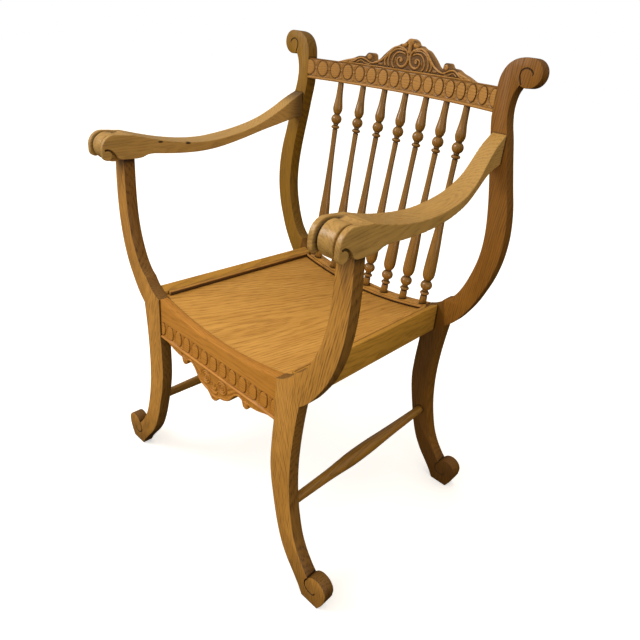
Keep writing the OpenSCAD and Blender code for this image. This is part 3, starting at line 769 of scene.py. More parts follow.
@dataclass
class Frames:
    """The two planked frames: legs, arm supports and back posts.

    Points of an outline that lie closer than the least distance are left out. A plank's sawn
    edges begin a skin's depth behind its faces. The wear on the feet, and the painted shade with
    some dirt under the arms on the supports' tops, are given by the heights where each starts and
    where it is full.
    """

    front_t: float = 22.5
    rear_t: float = 28.0
    seat_d: float = 435.0
    edge: float = 0.8
    least: float = 1.7
    skin: float = 0.2
    foot_wear: tuple[float, float] = (90.0, 35.0)
    under_arm_shade_and_dirt: tuple[float, float] = (674.0, 688.0)
    joint: Spots = ((220.0, 461.0), (233.0, 401.0))
    foot: Scroll = Scroll(310.0, 43.0, 23.5, (
        (-0.9, 0.44), (-1.12, 0.11), (-1.2, -0.23), (-1.12, -0.53), (-0.89, -0.75),
        (-0.54, -0.84), (-0.23, -0.78), (-0.05, -0.47)))
    top: Scroll = Scroll(296.0, 925.0, 25.0, (
        (-0.41, -0.82), (-0.54, -0.53), (-0.62, -0.2), (-0.56, 0.12), (-0.26, 0.3),
        (0.09, 0.24), (0.3, 0.04), (0.28, -0.13)))

    def mark_rims(self, item: bpy.types.Object) -> None:
        """Mark the edges that get rounded: both faces' rims, but not along the glued joint.

        Args:
            item: the plank.
        """
        mesh = item.data
        ends = np.empty(len(mesh.edges) * 2, dtype=int)
        mesh.edges.foreach_get("vertices", ends)
        a, b = (points(item)[ends.reshape(-1, 2)[:, k]] / MM for k in (0, 1))
        line = np.array(self.joint)
        glued = np.maximum(to_line(np.abs(a[:, 0]), a[:, 2], line),
                           to_line(np.abs(b[:, 0]), b[:, 2], line)) < 0.4
        rim = np.abs(a[:, 1] - b[:, 1]) < 0.01
        weights = mesh.attributes.new("bevel_weight_edge", "FLOAT", "EDGE")
        weights.data.foreach_set("value", (rim & ~glued).astype(float))

    def plank(self, node: str, face_y: float, thickness: float) -> bpy.types.Object:
        """Saw a plank to its solid's outline, with rounded edges.

        Args:
            node: the solid's name.
            face_y: y of its front face.
            thickness: thickness of the board.

        Returns:
            The plank.
        """
        drawn = faired(outline_of(node, face_y + thickness))
        kept = [drawn[0]]
        for spot in drawn[1:]:
            # closer points would leave the rounding no room
            if all(np.hypot(*(spot - other)) > self.least for other in (kept[-1], drawn[0])):
                kept.append(spot)
        line = np.array(kept)
        item = prism("oak_" + node, in_frame(line[:, 0], face_y, line[:, 1]),
                     (0, thickness * MM, 0))
        self.mark_rims(item)
        soften(item, self.edge, limit_method="WEIGHT")
        return item

    def build(self) -> None:
        """Build and dress the eight planks."""
        for side in Side:
            s = side.value
            # the last value of each row darkens the sawn edges: painted shade on the planks' sides
            rows = (
                ("front_leg", 0.0, self.front_t, self.foot, (s * 0.26, 0, -1), 11,
                 FRAME_OAK, 0.62),
                ("rear_leg", self.seat_d, self.rear_t, self.foot, (s * 0.26, 0, -1), 21,
                 SHADE_OAK, 0.0),
                ("arm_support", 0.0, self.front_t, None, (s * 0.2, 0, 1), 31,
                 FRAME_OAK, 0.6),
                ("back_post", self.seat_d, self.rear_t, self.top, (s * 0.08, 0, 1), 41,
                 POST_OAK if side is Side.RIGHT else OLIVE_OAK, 0.35),
            )
            for word, face_y, thickness, scroll, along, seed, finish, sawn_side_shade in rows:
                node = f"{word}_{side.word}"
                item = self.plank(node, face_y, thickness)
                if scroll is not None:
                    cut_out(item, scroll.cutter(side, face_y))
                smooth(item)
                _, y, z = drawn_points(item, face_y)
                sawn = (y > self.skin) & (y < thickness - self.skin)
                # the supports' tops darken under the arm as painted shade with some dirt; the feet
                # with wear
                if word == "arm_support":
                    wear_and_shade = 0.5 * blend_in(*self.under_arm_shade_and_dirt, z)
                else:
                    wear_and_shade = (0.4 - 0.2 * sawn) * blend_in(*self.foot_wear, z)
                lay_stain_and_shade(item, np.where(sawn, sawn_side_shade, 0.0) + wear_and_shade)
                lay_grain(item, along, seed + (s > 0), heart=(120, 20))
                deliver(item, finish, Slot.FRAME, node)


@dataclass
class Arms:
    """The two carved arms with their rolled knuckles.

    The coves beside the barrel lie at the hollows' x, and the barrel is given by its middle and
    half width. The curl is given by y, z and radius, the notch's wall from the arm's height, and
    each knot of the left arm by y, z and half length. Roll says where the painted shade in the
    cove and the barrel's mottle start and are full; tail and inner face say where the left
    arm's darker wood and its knots do.
    """

    grit: float = 1.05
    quick_grit: float = 2.4
    strokes: int = 4
    arm_z: float = 689.0
    rims: tuple[float, float] = (261.5, 315.5)
    rim_w: float = 14.0
    curl: tuple[float, float, float] = (-35.3, 698.3, 8.5)
    notch: Spots = (
        (-4, -1), (-13, 1), (-16.5, 5), (-19.5, 10), (-23.5, 15), (-29, 19.4), (-35, 21.6),
        (-40.6, 20.2))
    notch_mouth: tuple[float, float] = (-20.0, 686.0)
    hollows: tuple[float, float] = (279.8, 311.2)
    barrel: tuple[float, float] = (295.5, 33.0)
    roll: tuple[float, float] = (18.0, -8.0)
    tail: tuple[float, float] = (380.0, 430.0)
    inner_face: tuple[float, float] = (-276.0, -270.0)
    knots: tuple[tuple[float, float, float], ...] = ((71.0, 718.8, 6.5), (131.0, 714.0, 8.0))

    def open_notch(self, item: bpy.types.Object, side: Side) -> None:
        """Cut the notch behind the curl of each of the knuckle's rims.

        Args:
            item: the arm.
            side: its side of the chair.
        """
        y, z, radius = self.curl
        wall = curve_through([(a, self.arm_z + b) for a, b in self.notch], 3)
        line = np.concatenate([wall, arc_line(y, z, radius, 118, -75, 18), [self.notch_mouth]])
        for x in self.rims:
            cut_out(item, prism("notch_wedge",
                                in_frame(side.value * x, line[:, 0], line[:, 1]),
                                (side.value * self.rim_w * MM, 0, 0)))

    def wear(self, item: bpy.types.Object, side: Side) -> None:
        """Darken the cove left of each barrel as painted shade, and stain the barrel's mottle, the
        left tail and its knots.

        Args:
            item: the arm.
            side: its side of the chair; the knots lie on the left arm's inner side.
        """
        x, y, z = drawn_points(item)
        ax = np.abs(x)
        rolled = blend_in(*self.roll, y)
        # painted shade in the cove on the left of the barrel, as seen from the front
        hollow = self.hollows[0] if side is Side.RIGHT else self.hollows[1]
        share = 0.95 * np.exp(-((ax - hollow) / 2.6) ** 4) * rolled
        # faint mottle on the barrel
        waves = np.sin(x / 3.7 + z / 9.0) * np.sin(z / 4.9 - x / 11.0)
        mottle = blend_in(0.35, 0.9, 0.5 + 0.5 * waves)
        middle, half_w = self.barrel
        share = np.maximum(share, 0.16 * mottle * rolled * (np.abs(ax - middle) < half_w))
        # darker wood near the back post, and the knots
        if side is Side.LEFT:
            share = np.maximum(share, 0.75 * blend_in(*self.tail, y))
            for along, up, half in self.knots:
                away = np.hypot((y - along) / half, (z - up) / 2.6)
                knot = blend_in(1.0, 0.55, away) * blend_in(*self.inner_face, x)
                share = np.maximum(share, knot)
        lay_stain_and_shade(item, share)

    def build(self) -> None:
        """Round the arms' edges as years of hands do, and dress them."""
        for side in Side:
            node = f"arm_{side.word}"
            item = cad_copy(node, "oak_" + node)
            modify(item, "REMESH", mode="VOXEL",
                   voxel_size=self.grit * MM,
                   adaptivity=0.0)
            self.open_notch(item, side)
            modify(item, "SMOOTH", factor=0.5, iterations=self.strokes)
            smooth(item, 60)
            self.wear(item, side)
            lay_grain(item, (side.value * 0.03, 1, 0.12), 51 + (side.value > 0), face=(0, 0, 1),
                      heart=(0, 30))
            deliver(item, ARM_OAK, Slot.ARMS, node)


# ---------------------------------------------------------------- carving


def rise(distance: Array, width: float) -> Array:
    """Round ridge: 1 where the distance is 0, falling to 0 at the width."""
    return np.sqrt(np.clip(1 - (distance / width) ** 2, 0, 1))


def blend_in(low: float, high: float, value: Array) -> Array:
    """Soft step from 0 at low to 1 at high."""
    t = np.clip((value - low) / (high - low), 0, 1)
    return t * t * (3 - 2 * t)


def to_line(x: Array, z: Array, line: Array) -> Array:
    """Distance from each point to an open line of corners.

    Args:
        x: places across.
        z: places up.
        line: corners of the line.

    Returns:
        The distances, in the shape of x.
    """
    best = np.full(x.shape, 1e9)
    for a, b in zip(line[:-1], line[1:]):
        span = b - a
        t = np.clip(((x - a[0]) * span[0] + (z - a[1]) * span[1]) / max(span @ span, 1e-9), 0, 1)
        best = np.minimum(best, np.hypot(x - a[0] - t * span[0], z - a[1] - t * span[1]))
    return best


def arc_line(cx: float, cz: float, radius: float, start: float, end: float,
             count: int) -> Array:
    """Arc of a circle as the given count of steps, with angles in degrees."""
    angles = np.radians(np.linspace(start, end, count + 1))
    return np.stack([cx + radius * np.cos(angles), cz + radius * np.sin(angles)], axis=1)


def height_on(line: Array, x: Array) -> Array:
    """Height at x, on either side of the middle, of an outline's right half."""
    return np.interp(np.abs(x), np.maximum.accumulate(line[:, 0]), line[:, 1])


@dataclass(frozen=True)
class Reed:
    """Rounded ridge of a carving along a line of places, drawn for the right half."""

    half: float
    height: float
    way: Spots

    def over(self, x: Array, h: Array) -> Array:
        """Height of the ridge above its ground at x and h."""
        return self.height * rise(to_line(x, h, curve_through(self.way, 4)), self.half)


@dataclass(frozen=True)
class Boss:
    """Round lobe of a carving."""

    x: float
    h: float
    half_x: float
    half_h: float
    height: float

    def over(self, x: Array, h: Array) -> Array:
        """Height of the lobe above its ground at x and h."""
        away = np.hypot((x - self.x) / self.half_x, (h - self.h) / self.half_h)
        return self.height * rise(away, 1.0)


def depth_stain_and_shade(item: bpy.types.Object, depth: Array, low: float, high: float,
              most: Array) -> None:
    """Darken a carved front with its depth: painted shade in the carving's ground, with the stain
    and wax that pool there.

    Args:
        item: the carved piece.
        depth: depth of each point below the face, in millimetres.
        low: depth where the darkening starts.
        high: depth where it is darkest.
        most: the darkest share at each point.
    """
    # the board's back lies deeper than this
    lay_stain_and_shade(item, np.where(depth < 6.0, most * blend_in(low, high, depth), 0.0))


def coil(x: Array, z: Array, cx: float, cz: float, radius: float, pitch: float,
         hand: float, start: float) -> tuple[Array, Array]:
    """Reeds that wind in to an eye.

    Args:
        x: places across.
        z: places up.
        cx: x of the eye.
        cz: height of the eye.
        radius: outer radius of the coil.
        pitch: distance from one reed to the next.
        hand: 1 or -1, the way that the coil turns.
        start: angle of the coil's outer end, in degrees.

    Returns:
        The reeds' height from 0 to 1, and the distance from the eye.
    """
    away = np.hypot(x - cx, z - cz)
    angle = np.arctan2(z - cz, hand * (x - cx)) - math.radians(start)
    phase = (away / pitch - angle / (2 * math.pi)) % 1.0
    reed = np.sqrt(np.clip(1 - (2 * phase - 1) ** 2, 0, 1))
    eye = rise(away, pitch * 0.75)
    reed = np.where(away < pitch * 0.75, eye, reed)
    return np.where(away < radius, reed, 0.0), away


def carved_board(name: str, xs: Array, shares: Array, part: float,
                 edges: tuple[Array, float, Array], front: Height,
                 section: Sequence[tuple[Array, Array]]) -> bpy.types.Object:
    """Carve a board: a fine grid is its front, its top edge is drawn round to the back.

    Args:
        name: name of the piece.
        xs: x of each column.
        shares: share of the height of each row, from 0 to 1.
        part: share at which the rows cross the board's straight line.
        edges: z of the lower edge at each column, of the straight line, and of the upper edge
            at each column.
        front: y of the front at x and z.
        section: y and z, for each column or for all, of each corner from the top edge to the
            lower one.

    Returns:
        The closed board.
    """
    nx, nz = len(xs), len(shares)
    take()
    bpy.ops.mesh.primitive_grid_add(x_subdivisions=nx - 1, y_subdivisions=nz - 1, size=2.0)
    item = bpy.context.object
    item.name = item.data.name = name
    places = points(item)
    column = np.rint((places[:, 0] + 1) / 2 * (nx - 1)).astype(int)
    row = np.rint((places[:, 1] + 1) / 2 * (nz - 1)).astype(int)
    x, share = xs[column], shares[row]
    low, line, high = edges[0][column], edges[1], edges[2][column]
    z = np.where(share <= part, low + (line - low) * share / part,
                 line + (high - line) * (share - part) / (1 - part))
    move_points(item, in_frame(x, front(x, z), z))
    edge = row == nz - 1
    edges_from = len(places)
    for corner in section:
        edit(item, edge)
        bpy.ops.mesh.extrude_edges_move(TRANSFORM_OT_translate={"value": (0, MM, 0)})
        close_edit()
        places = points(item)
        new_x = places[edges_from:, 0] / MM
        index = np.argmin(np.abs(new_x[:, None] - xs[None, :]), axis=1)
        y, z = (np.broadcast_to(value, xs.shape)[index] for value in corner)
        places[edges_from:] = in_frame(xs[index], y, z)
        move_points(item, places)
        edge = np.zeros(len(places), dtype=bool)
        edge[edges_from:] = True
        edges_from = len(places)
    lower = np.zeros(len(edge), dtype=bool)
    lower[:len(row)] = row == 0
    edit(item, edge | lower)
    bpy.ops.mesh.bridge_edge_loops()
    bpy.ops.mesh.select_all(action="SELECT")
    bpy.ops.mesh.fill_holes(sides=0)
    close_edit()
    outward(item)
    return item


@dataclass
class CrestRail:
    """Bowed crest rail with its frieze of ovals and its carved cresting.

    The reeds, bosses, outline and tail are drawn for the right half, above the rail. The rows of
    the cresting are as many as its given reach needs.
    """

    half: float = 242.0
    low: float = 852.0
    high: float = 896.0
    thick: float = 22.0
    bow_r: float = 578.9906
    bow_y: float = -90.9906
    ground: float = 1.9
    oval_step: float = 29.877
    oval_h: float = 24.6
    oval: tuple[float, float] = (10.6, 15.6)
    reach: float = 58.0
    knob_r: float = 8.6
    knob: tuple[float, float] = (100.4, 18.4)
    cut: float = 0.9
    reeds: tuple[Reed, ...] = (
        Reed(2.7, 3.0, (
            (84.4, 8.7), (78.9, 10.5), (69.6, 15.3), (62.1, 21.8), (55.6, 28.4), (47.8, 36.3),
            (39.4, 42.8), (31.0, 46.0), (23.9, 45.4), (16.2, 43.6), (8.9, 40.0), (4.3, 35.1),
            (2.7, 29.0), (2.7, 23.0), (4.4, 17.2), (7.6, 12.3), (12.8, 8.8), (19.2, 7.6))),
        Reed(2.2, 2.8, (
            (19.2, 7.6), (24.9, 9.7), (28.5, 14.6), (29.2, 19.8), (27.2, 23.7), (22.8, 25.5),
            (19.0, 24.0), (17.2, 21.2), (18.0, 18.4), (20.8, 18.0))),
        Reed(1.9, 2.4, (
            (10.3, 32.7), (14.9, 34.7), (22.8, 35.8), (31.2, 34.0), (36.0, 30.1), (39.7, 24.6),
            (42.0, 18.2), (41.7, 12.3), (39.6, 7.6), (36.2, 4.6))),
        Reed(1.9, 2.4, (
            (14.0, 39.4), (21.7, 41.2), (30.7, 41.3), (38.4, 38.4), (45.5, 33.2), (49.9, 26.4),
            (52.0, 19.3), (52.0, 11.9), (50.0, 6.5))),
        Reed(2.1, 2.2, ((48.7, 32.1), (55.2, 25.4), (60.2, 18.7), (61.0, 12.9), (58.4, 6.4))),
        Reed(2.0, 2.5, (
            (84.4, 8.7), (92.3, 6.6), (99.6, 8.4), (108.6, 12.6), (118.1, 14.4), (126.1, 13.0),
            (132.2, 9.3), (138.3, 5.4), (146.8, 3.4))),
        Reed(1.6, 1.8, (
            (97.5, 4.2), (106.3, 4.6), (112.5, 6.4), (117.1, 9.0), (121.5, 9.4), (125.5, 7.4),
            (129.9, 4.7))),
        Reed(3.2, 2.3, ((134, 11.0), (142, 8.2), (156, 4.6), (170, 0.8))),
        Reed(1.5, 2.8, ((0, 1.4), (178, 1.4))),
        Reed(4.4, 5.6, ((0, 60.0), (0, 50), (0, 43), (0, 37.5))))
    bosses: tuple[Boss, ...] = (
        Boss(0, 57.5, 9.0, 8.0, 4.4), Boss(15.5, 51.5, 8.5, 5.8, 4.0),
        Boss(21.2, 20.9, 2.6, 2.6, 2.8), Boss(99.6, 18.4, 6.2, 6.2, 2.9),
        Boss(71, 7.5, 7.5, 3.0, 1.3), Boss(34, 18, 2.2, 6.5, 1.2))
    outline: Spots = (
        (0, 64), (9, 60), (15, 53), (24, 52), (32, 47.5), (44, 43.5), (55, 35), (64, 27),
        (74, 17), (84, 12.5), (90, 14))
    tail: Spots = ((112, 18.5), (126, 17.5), (140, 11.5), (156, 7), (172, 1), (176, 0))

    def edge_line(self) -> Array:
        """Draw the right half of the cresting's outline.

        Returns:
            Its points, as x and height above the rail.
        """
        arc = arc_line(*self.knob, self.knob_r, 200, 20, 12)
        return np.concatenate([curve_through(self.outline), arc, curve_through(self.tail),
                               [[self.half + 1, 0.0]]])

    def bow(self, x: Array, radius: float) -> Array:
        """y of the bent board's face of the given radius at x."""
        return self.bow_y + np.sqrt(radius ** 2 - x ** 2)

    def frieze(self, x: Array, h: Array) -> Array:
        """Carving of the rail itself.

        Args:
            x: places across.
            h: height above the rail's lower edge.

        Returns:
            Depth of the carving below the face.
        """
        dx = ((x / self.oval_step + 0.5) % 1.0 - 0.5) * self.oval_step
        dz = h - self.oval_h
        q = np.hypot(dx / self.oval[0], dz / self.oval[1])
        # between two ovals a round dot, with a dart above and one below it
        side = np.abs(np.abs(dx) - self.oval_step / 2)
        dot = 1.7 * rise(np.hypot(side, dz), 2.4)
        reach = np.abs(dz)
        dart = 1.5 * np.clip(1.3 - side / np.clip((reach - 3.6) * 0.22, 0.1, 2.2), 0, 1)
        dart = np.where((reach > 4.4) & (reach < 15.5), dart, 0.0)
        depth = self.ground - np.maximum(dot, dart)
        # a groove round each oval, and the oval's flat dome
        depth = np.where(q < 1.24, 2.7 - 0.9 * blend_in(1.12, 1.24, q), depth)
        return np.where(q < 1, 0.7 - 0.7 * np.sqrt(np.clip(1 - q ** 3, 0, 1)), depth)

    def mouldings(self, h: Array, depth: Array) -> Array:
        """Run the reeds along the rail's edges over the frieze's carving.

        Args:
            h: height above the rail's lower edge.
            depth: depth of the frieze's carving.

        Returns:
            Depth of the carving below the face.
        """
        # a groove under the cresting, a reed along the lower edge and a fine one above it
        tall = self.high - self.low
        depth = np.where(h > tall - 2.6, 2.4 - 1.6 * blend_in(tall - 1.6, tall, h), depth)
        depth = np.where(h < 5.2, 1.4 - 1.4 * rise(h - 2.6, 2.6), depth)
        return np.where((h >= 5.2) & (h < 7.2), 2.4 - 0.6 * rise(h - 6.2, 1.0), depth)

    def cresting(self, x: Array, h: Array) -> Array:
        """Carving above the rail.

        Args:
            x: places across.
            h: height above the rail.

        Returns:
            Depth of the carving below the face.
        """
        ax = np.abs(x)
        relief = np.zeros(x.shape)
        for mark in (*self.reeds, *self.bosses):
            relief = np.maximum(relief, mark.over(ax, h))
        # a small hollow in each knob
        eye = np.hypot(ax - self.knob[0] + 1.0, h - self.knob[1])
        return 3.1 - relief + 1.1 * rise(eye, 2.4)

    def front(self, x: Array, z: Array) -> Array:
        """Lay the carving on the bowed face.

        Args:
            x: places across.
            z: places up.

        Returns:
            y of the front there.
        """
        h = z - self.low
        rail = self.mouldings(h, self.frieze(x, h))
        above = self.cresting(x, z - self.high)
        depth = np.where(z <= self.high + 0.2, rail, above)
        return self.bow(x, self.bow_r) + depth

    def build(self) -> None:
        """Carve the rail on a grid that follows its outline, and dress it."""
        step = self.cut * 1.0
        xs = np.linspace(-self.half, self.half, int(2 * self.half / step) + 1)
        high = self.high + height_on(self.edge_line(), xs)
        low = np.full(xs.shape, self.low)
        back = self.bow(xs, self.bow_r + self.thick)
        rail_rows = int((self.high - self.low) / step)
        crest_rows = int(self.reach / step)
        shares = np.linspace(0, 1, rail_rows + crest_rows + 1)
        item = carved_board("oak_crest_rail", xs, shares, rail_rows / (rail_rows + crest_rows),
                            (low, self.high, high), self.front, ((back, high), (back, low)))
        smooth(item, 50)
        x, y, z = drawn_points(item)
        most = np.where(z > self.high, 0.7, 0.4)
        # deeper carving is darker: painted shade in the ground, with pooled stain
        depth_stain_and_shade(item, y - self.bow(x, self.bow_r), 1.0, 2.8, most)
        lay_grain(item, (1, 0, 0), 61, heart=(60, 20))
        deliver(item, CREST_OAK, Slot.CARVED, "crest_rail")


@dataclass
class FrontRail:
    """Front rail: dished top, frieze of ovals, straight moulding and carved pendant apron.

    The knob, outline and middle of the apron are drawn for the right half, below the moulding.
    The rows are as many as the given reach needs, with the given share of them on the apron.
    """

    half: float = 176.0
    face_y: float = 3.0
    thick: float = 26.0
    band: float = 18.0
    apron_t: float = 19.0
    seat_z: float = 428.0
    dish: float = 19.0
    ledge: float = 9.5
    line_z: float = 344.0
    frieze_z: float = 348.0
    frieze_h: float = 33.0
    step: float = 28.85
    cut: float = 0.8
    reach: float = 118.0
    apron_share: float = 0.42
    knob_r: float = 8.0
    knob: tuple[float, float] = (95.5, -20.0)
    outline: Spots = ((166, -3), (150, -7), (134, -12), (119, -15), (107, -16))
    middle: Spots = (
        (84, -15), (76, -13), (68, -16), (60, -23), (48, -38), (36, -45), (27, -48), (19, -50),
        (12, -56), (6, -62), (0, -63))

    def dip(self, x: Array) -> Array:
        """z of the dished seat line at x."""
        return self.seat_z - self.dish + self.dish * (x / self.half) ** 2

    def under_line(self) -> Array:
        """Draw the right half of the apron's lower outline, from the middle outwards.

        Returns:
            Its points, as x and height above the moulding.
        """
        arc = arc_line(*self.knob, self.knob_r, -160, 25, 12)
        return np.concatenate([curve_through(self.middle)[::-1], arc,
                               curve_through(self.outline)[::-1], [[self.half + 1, -3.0]]])

    def frieze(self, x: Array, z: Array) -> Array:
        """Carve the ovals and darts.

        Args:
            x: places across.
            z: places up.

        Returns:
            Depth of the carving below the face.
        """
        middle = self.frieze_z + self.frieze_h / 2
        dx = ((x / self.step + 0.5) % 1.0 - 0.5) * self.step
        dz = z - middle
        q = (np.abs(dx / (self.step * 0.32)) ** 2.5
             + np.abs(dz / (self.frieze_h * 0.46)) ** 2.5) ** 0.4
        # a dart between two ovals, a groove round each oval, and the oval's flat dome
        side = np.abs(np.abs(dx) - self.step / 2)
        dart = 1.2 * np.clip(1.4 - side / (0.5 + 0.09 * np.abs(dz)), 0, 1)
        depth = 1.3 - dart
        depth = np.where(q < 1.2, 2.2 - 0.8 * blend_in(1.08, 1.2, q), depth)
        depth = np.where(q < 1, 0.5 - 0.5 * np.sqrt(np.clip(1 - q ** 4, 0, 1)), depth)
        # the carving fades out at the frieze's edges
        inside = np.abs(x) < self.half - 6
        edge = np.minimum(z - self.frieze_z, self.frieze_z + self.frieze_h - z)
        return np.where((edge > 0) & inside, depth * blend_in(0, 1.2, edge), 0.0)

    def apron(self, x: Array, h: Array) -> Array:
        """Carve the apron's border, scrolls, shell, knobs, leaves and ripples.

        Args:
            x: places across.
            h: height above the moulding, which is negative on the apron.

        Returns:
            Depth of the carving below the face.
        """
        ax = np.abs(x)
        # a rounded border along the outline
        gap = to_line(ax, h, self.under_line())
        depth = np.full(x.shape, 2.6)
        depth = np.where(gap < 5.0, 2.6 - 2.0 * rise(gap - 2.5, 2.5), depth)
        # the scrolls
        reeds, away = coil(ax, h, 25.0, -20.0, 15.0, 4.6, 1.0, 120.0)
        depth = np.where(away < 15.0, 3.0 - 2.6 * reeds, depth)
        # the shell in the middle, as nested ridges
        nest = np.hypot(ax, (h + 26) * 0.8)
        ridges = 1.2 * np.sin(nest * 2 * math.pi / 7.0)
        depth = np.where((ax < 12) & (h < -24) & (gap > 4), 2.2 - ridges, depth)
        # the knobs, with a ring cut in each
        out = np.hypot(ax - self.knob[0], h - self.knob[1])
        button = 1.4 - 1.6 * rise(out, 8.0) + 1.0 * rise(out - 4.6, 1.0)
        depth = np.where(out < self.knob_r, button, depth)
        # leaves that sweep from scroll to knob, and low ripples out to the legs
        sweep = np.sin((ax * 0.7 - h * 0.9) * 2 * math.pi / 10.0) * 0.6
        depth = np.where((ax > 42) & (ax < 86) & (gap > 5), 2.3 - sweep, depth)
        ripples = 1.2 + 0.5 * np.sin(ax * 2 * math.pi / 12) * blend_in(0, 3, gap)
        return np.where(ax > 106, ripples, depth)

    def seat_line(self, item: bpy.types.Object, x: Array, y: Array, z: Array) -> None:
        """Darken the joint with the seat panel; the line fades towards the right.

        Args:
            item: the rail.
            x: drawn x of its vertices.
            y: their distance behind the face.
            z: their height.
        """
        joint = (np.abs(y - self.band) < 0.3) & (z > self.dip(x) - 3)
        share = np.empty(len(x))
        layer = item.data.attributes["stain"].data
        layer.foreach_get("value", share)
        layer.foreach_set("value", np.where(joint, 0.95 - 0.8 * blend_in(-90, 120, x), share))

    def front(self, x: Array, z: Array) -> Array:
        """Carve the rail's edge, frieze, moulding and apron.

        Args:
            x: places across.
            z: places up.

        Returns:
            y of the front there.
        """
        # the frieze, with the top edge eased above it
        top = self.dip(x) - z
        depth = self.frieze(x, z)
        depth = np.where(top < 2.0, 0.6 * blend_in(2.0, 0.0, top), depth)
        # the moulding's round, and a groove above it
        roll = z - self.line_z
        depth = np.where(np.abs(roll) < 2.8, -2.4 * rise(roll, 2.8), depth)
        depth = np.where((roll >= 2.8) & (roll < 4.4), 1.6 * rise(roll - 3.6, 0.9), depth)
        depth = np.where(roll <= -2.8, self.apron(x, roll), depth)
        return self.face_y + depth

    def build(self) -> None:
        """Carve the rail and dress it."""
        step = self.cut * 1.0
        xs = np.linspace(-self.half, self.half, int(2 * self.half / step) + 1)
        high = self.dip(xs)
        low = self.line_z + height_on(self.under_line(), xs)
        shares = np.linspace(0, 1, int(self.reach / step) + 1)
        section = [(self.face_y + y, z) for y, z in (
            (self.band - 1.3, high), (self.band, high - 1.0), (self.band, high - self.ledge),
            (self.thick, high - self.ledge), (self.thick, self.line_z),
            (self.apron_t, self.line_z), (self.apron_t, low))]
        item = carved_board("oak_front_rail", xs, shares, self.apron_share,
                            (low, self.line_z, high), self.front, section)
        smooth(item, 50)
        x, y, z = drawn_points(item, self.face_y)
        # deeper carving is darker: painted shade in the ground, with pooled stain
        depth_stain_and_shade(item, y, 0.7, 2.6, np.where(z > self.line_z, 0.5, 0.05))
        self.seat_line(item, x, y, z)
        lay_grain(item, (1, 0, 0), 71, heart=(60, 20))
        deliver(item, CARVED_OAK, Slot.CARVED, "front_rail")


# ---------------------------------------------------------------- seat and turned parts


@dataclass(frozen=True)
class Board:
    """A board of the seat: its grain's way, its wide face's way and its edges' rounding.

    A board with shaded edges has its two long edges darkened as painted shade. The values are
    the axis across it, and the sign of the side that faces away from the panel.
    """

    node: str
    finish: Finish
    slot: Slot
    along: tuple[float, float, float]
    face: tuple[float, float, float]
    seed: int
    edge: float
    shaded_edges: Optional[tuple[int, int]] = None


@dataclass
class Seat:
    """Dished seat panel with the rails and beads around it.

    The painted shade on a bead's edges starts and is full at shares of its half width from its
    middle.
    """

    sharp: float = 38.0
    shade_edges: tuple[float, ...] = (-0.92, -0.75, 0.2, 0.42)
    boards: tuple[Board, ...] = (
        Board("seat_panel", SEAT_OAK, Slot.SEAT, (0.27, 0.96, 0), (0, 0, 1), 81, 0.6),
        Board("seat_bead_left", FRAME_OAK, Slot.FRAME, (0, 1, 0), (1, 0, 0), 82, 0.4, (0, -1)),
        Board("seat_bead_right", SEAT_OAK, Slot.FRAME, (0, 1, 0), (1, 0, 0), 83, 0.4),
        Board("seat_bead_rear", FRAME_OAK, Slot.FRAME, (1, 0, 0), (0, 1, 0), 84, 0.9, (1, 1)),
        Board("side_rail_left", SIDE_OAK, Slot.FRAME, (0, 1, 0), (1, 0, 0), 85, 0.9),
        Board("side_rail_right", SIDE_OAK, Slot.FRAME, (0, 1, 0), (1, 0, 0), 86, 0.9),
        Board("rear_rail", FRAME_OAK, Slot.FRAME, (1, 0, 0), (0, 1, 0), 87, 0.9))

    def shade_bead_edges(self, item: bpy.types.Object, axis: int, out: int) -> None:
        """Darken a bead's two edges as painted shade, so that it shows as a light line between
        dark ones.

        Args:
            item: the bead.
            axis: the axis across it.
            out: sign of the side that faces away from the panel.
        """
        across = points(item)[:, axis]
        middle, half = (across.max() + across.min()) / 2, (across.max() - across.min()) / 2
        for share in self.shade_edges:
            place, square = [0.0, 0.0, 0.0], [0.0, 0.0, 0.0]
            place[axis], square[axis] = middle + out * share * half, 1.0
            edit(item)
            bpy.ops.mesh.bisect(plane_co=place, plane_no=square)
            close_edit()
        off = out * (points(item)[:, axis] - middle) / half
        dark_in, light_in, light_out, dark_out = self.shade_edges
        lay_stain_and_shade(item, 0.9 * blend_in(light_out, dark_out, off)
                  + 0.9 * blend_in(light_in, dark_in, off))

    def build(self) -> None:
        """Round the edges of the seat's boards and dress them."""
        for board in self.boards:
            item = cad_copy(board.node, "oak_" + board.node)
            soften(item, board.edge, limit_method="ANGLE", angle_limit=math.radians(self.sharp))
            smooth(item, 30)
            if board.shaded_edges is not None:
                self.shade_bead_edges(item, *board.shaded_edges)
            lay_grain(item, board.along, board.seed, face=board.face, heart=(40, 60))
            deliver(item, board.finish, board.slot, board.node)


def turn(name: str, profile: Spots, sides: int = 40) -> bpy.types.Object:
    """Turn a profile on the lathe, along +z from the origin.

    Args:
        name: name of the piece.
        profile: distance along and radius of each ring, in millimetres.
        sides: number of faces round it.

    Returns:
        The turned piece.
    """
    take()
    first = profile[0]
    bpy.ops.mesh.primitive_circle_add(vertices=sides, radius=first[1] * MM, fill_type="NGON",
                                      location=(0, 0, 0))
    item = bpy.context.object
    item.name = item.data.name = name
    edit(item)
    for (s0, r0), (s1, r1) in zip(profile[:-1], profile[1:]):
        bpy.ops.mesh.extrude_region_move(
            TRANSFORM_OT_translate={"value": (0, 0, (s1 - s0) * MM)})
        k = r1 / r0
        bpy.ops.transform.resize(value=(k, k, 1), center_override=(0, 0, (s1 - first[0]) * MM))
    close_edit()
    places = points(item)
    places[:, 2] += first[0] * MM
    move_points(item, places)
    outward(item)
    return item


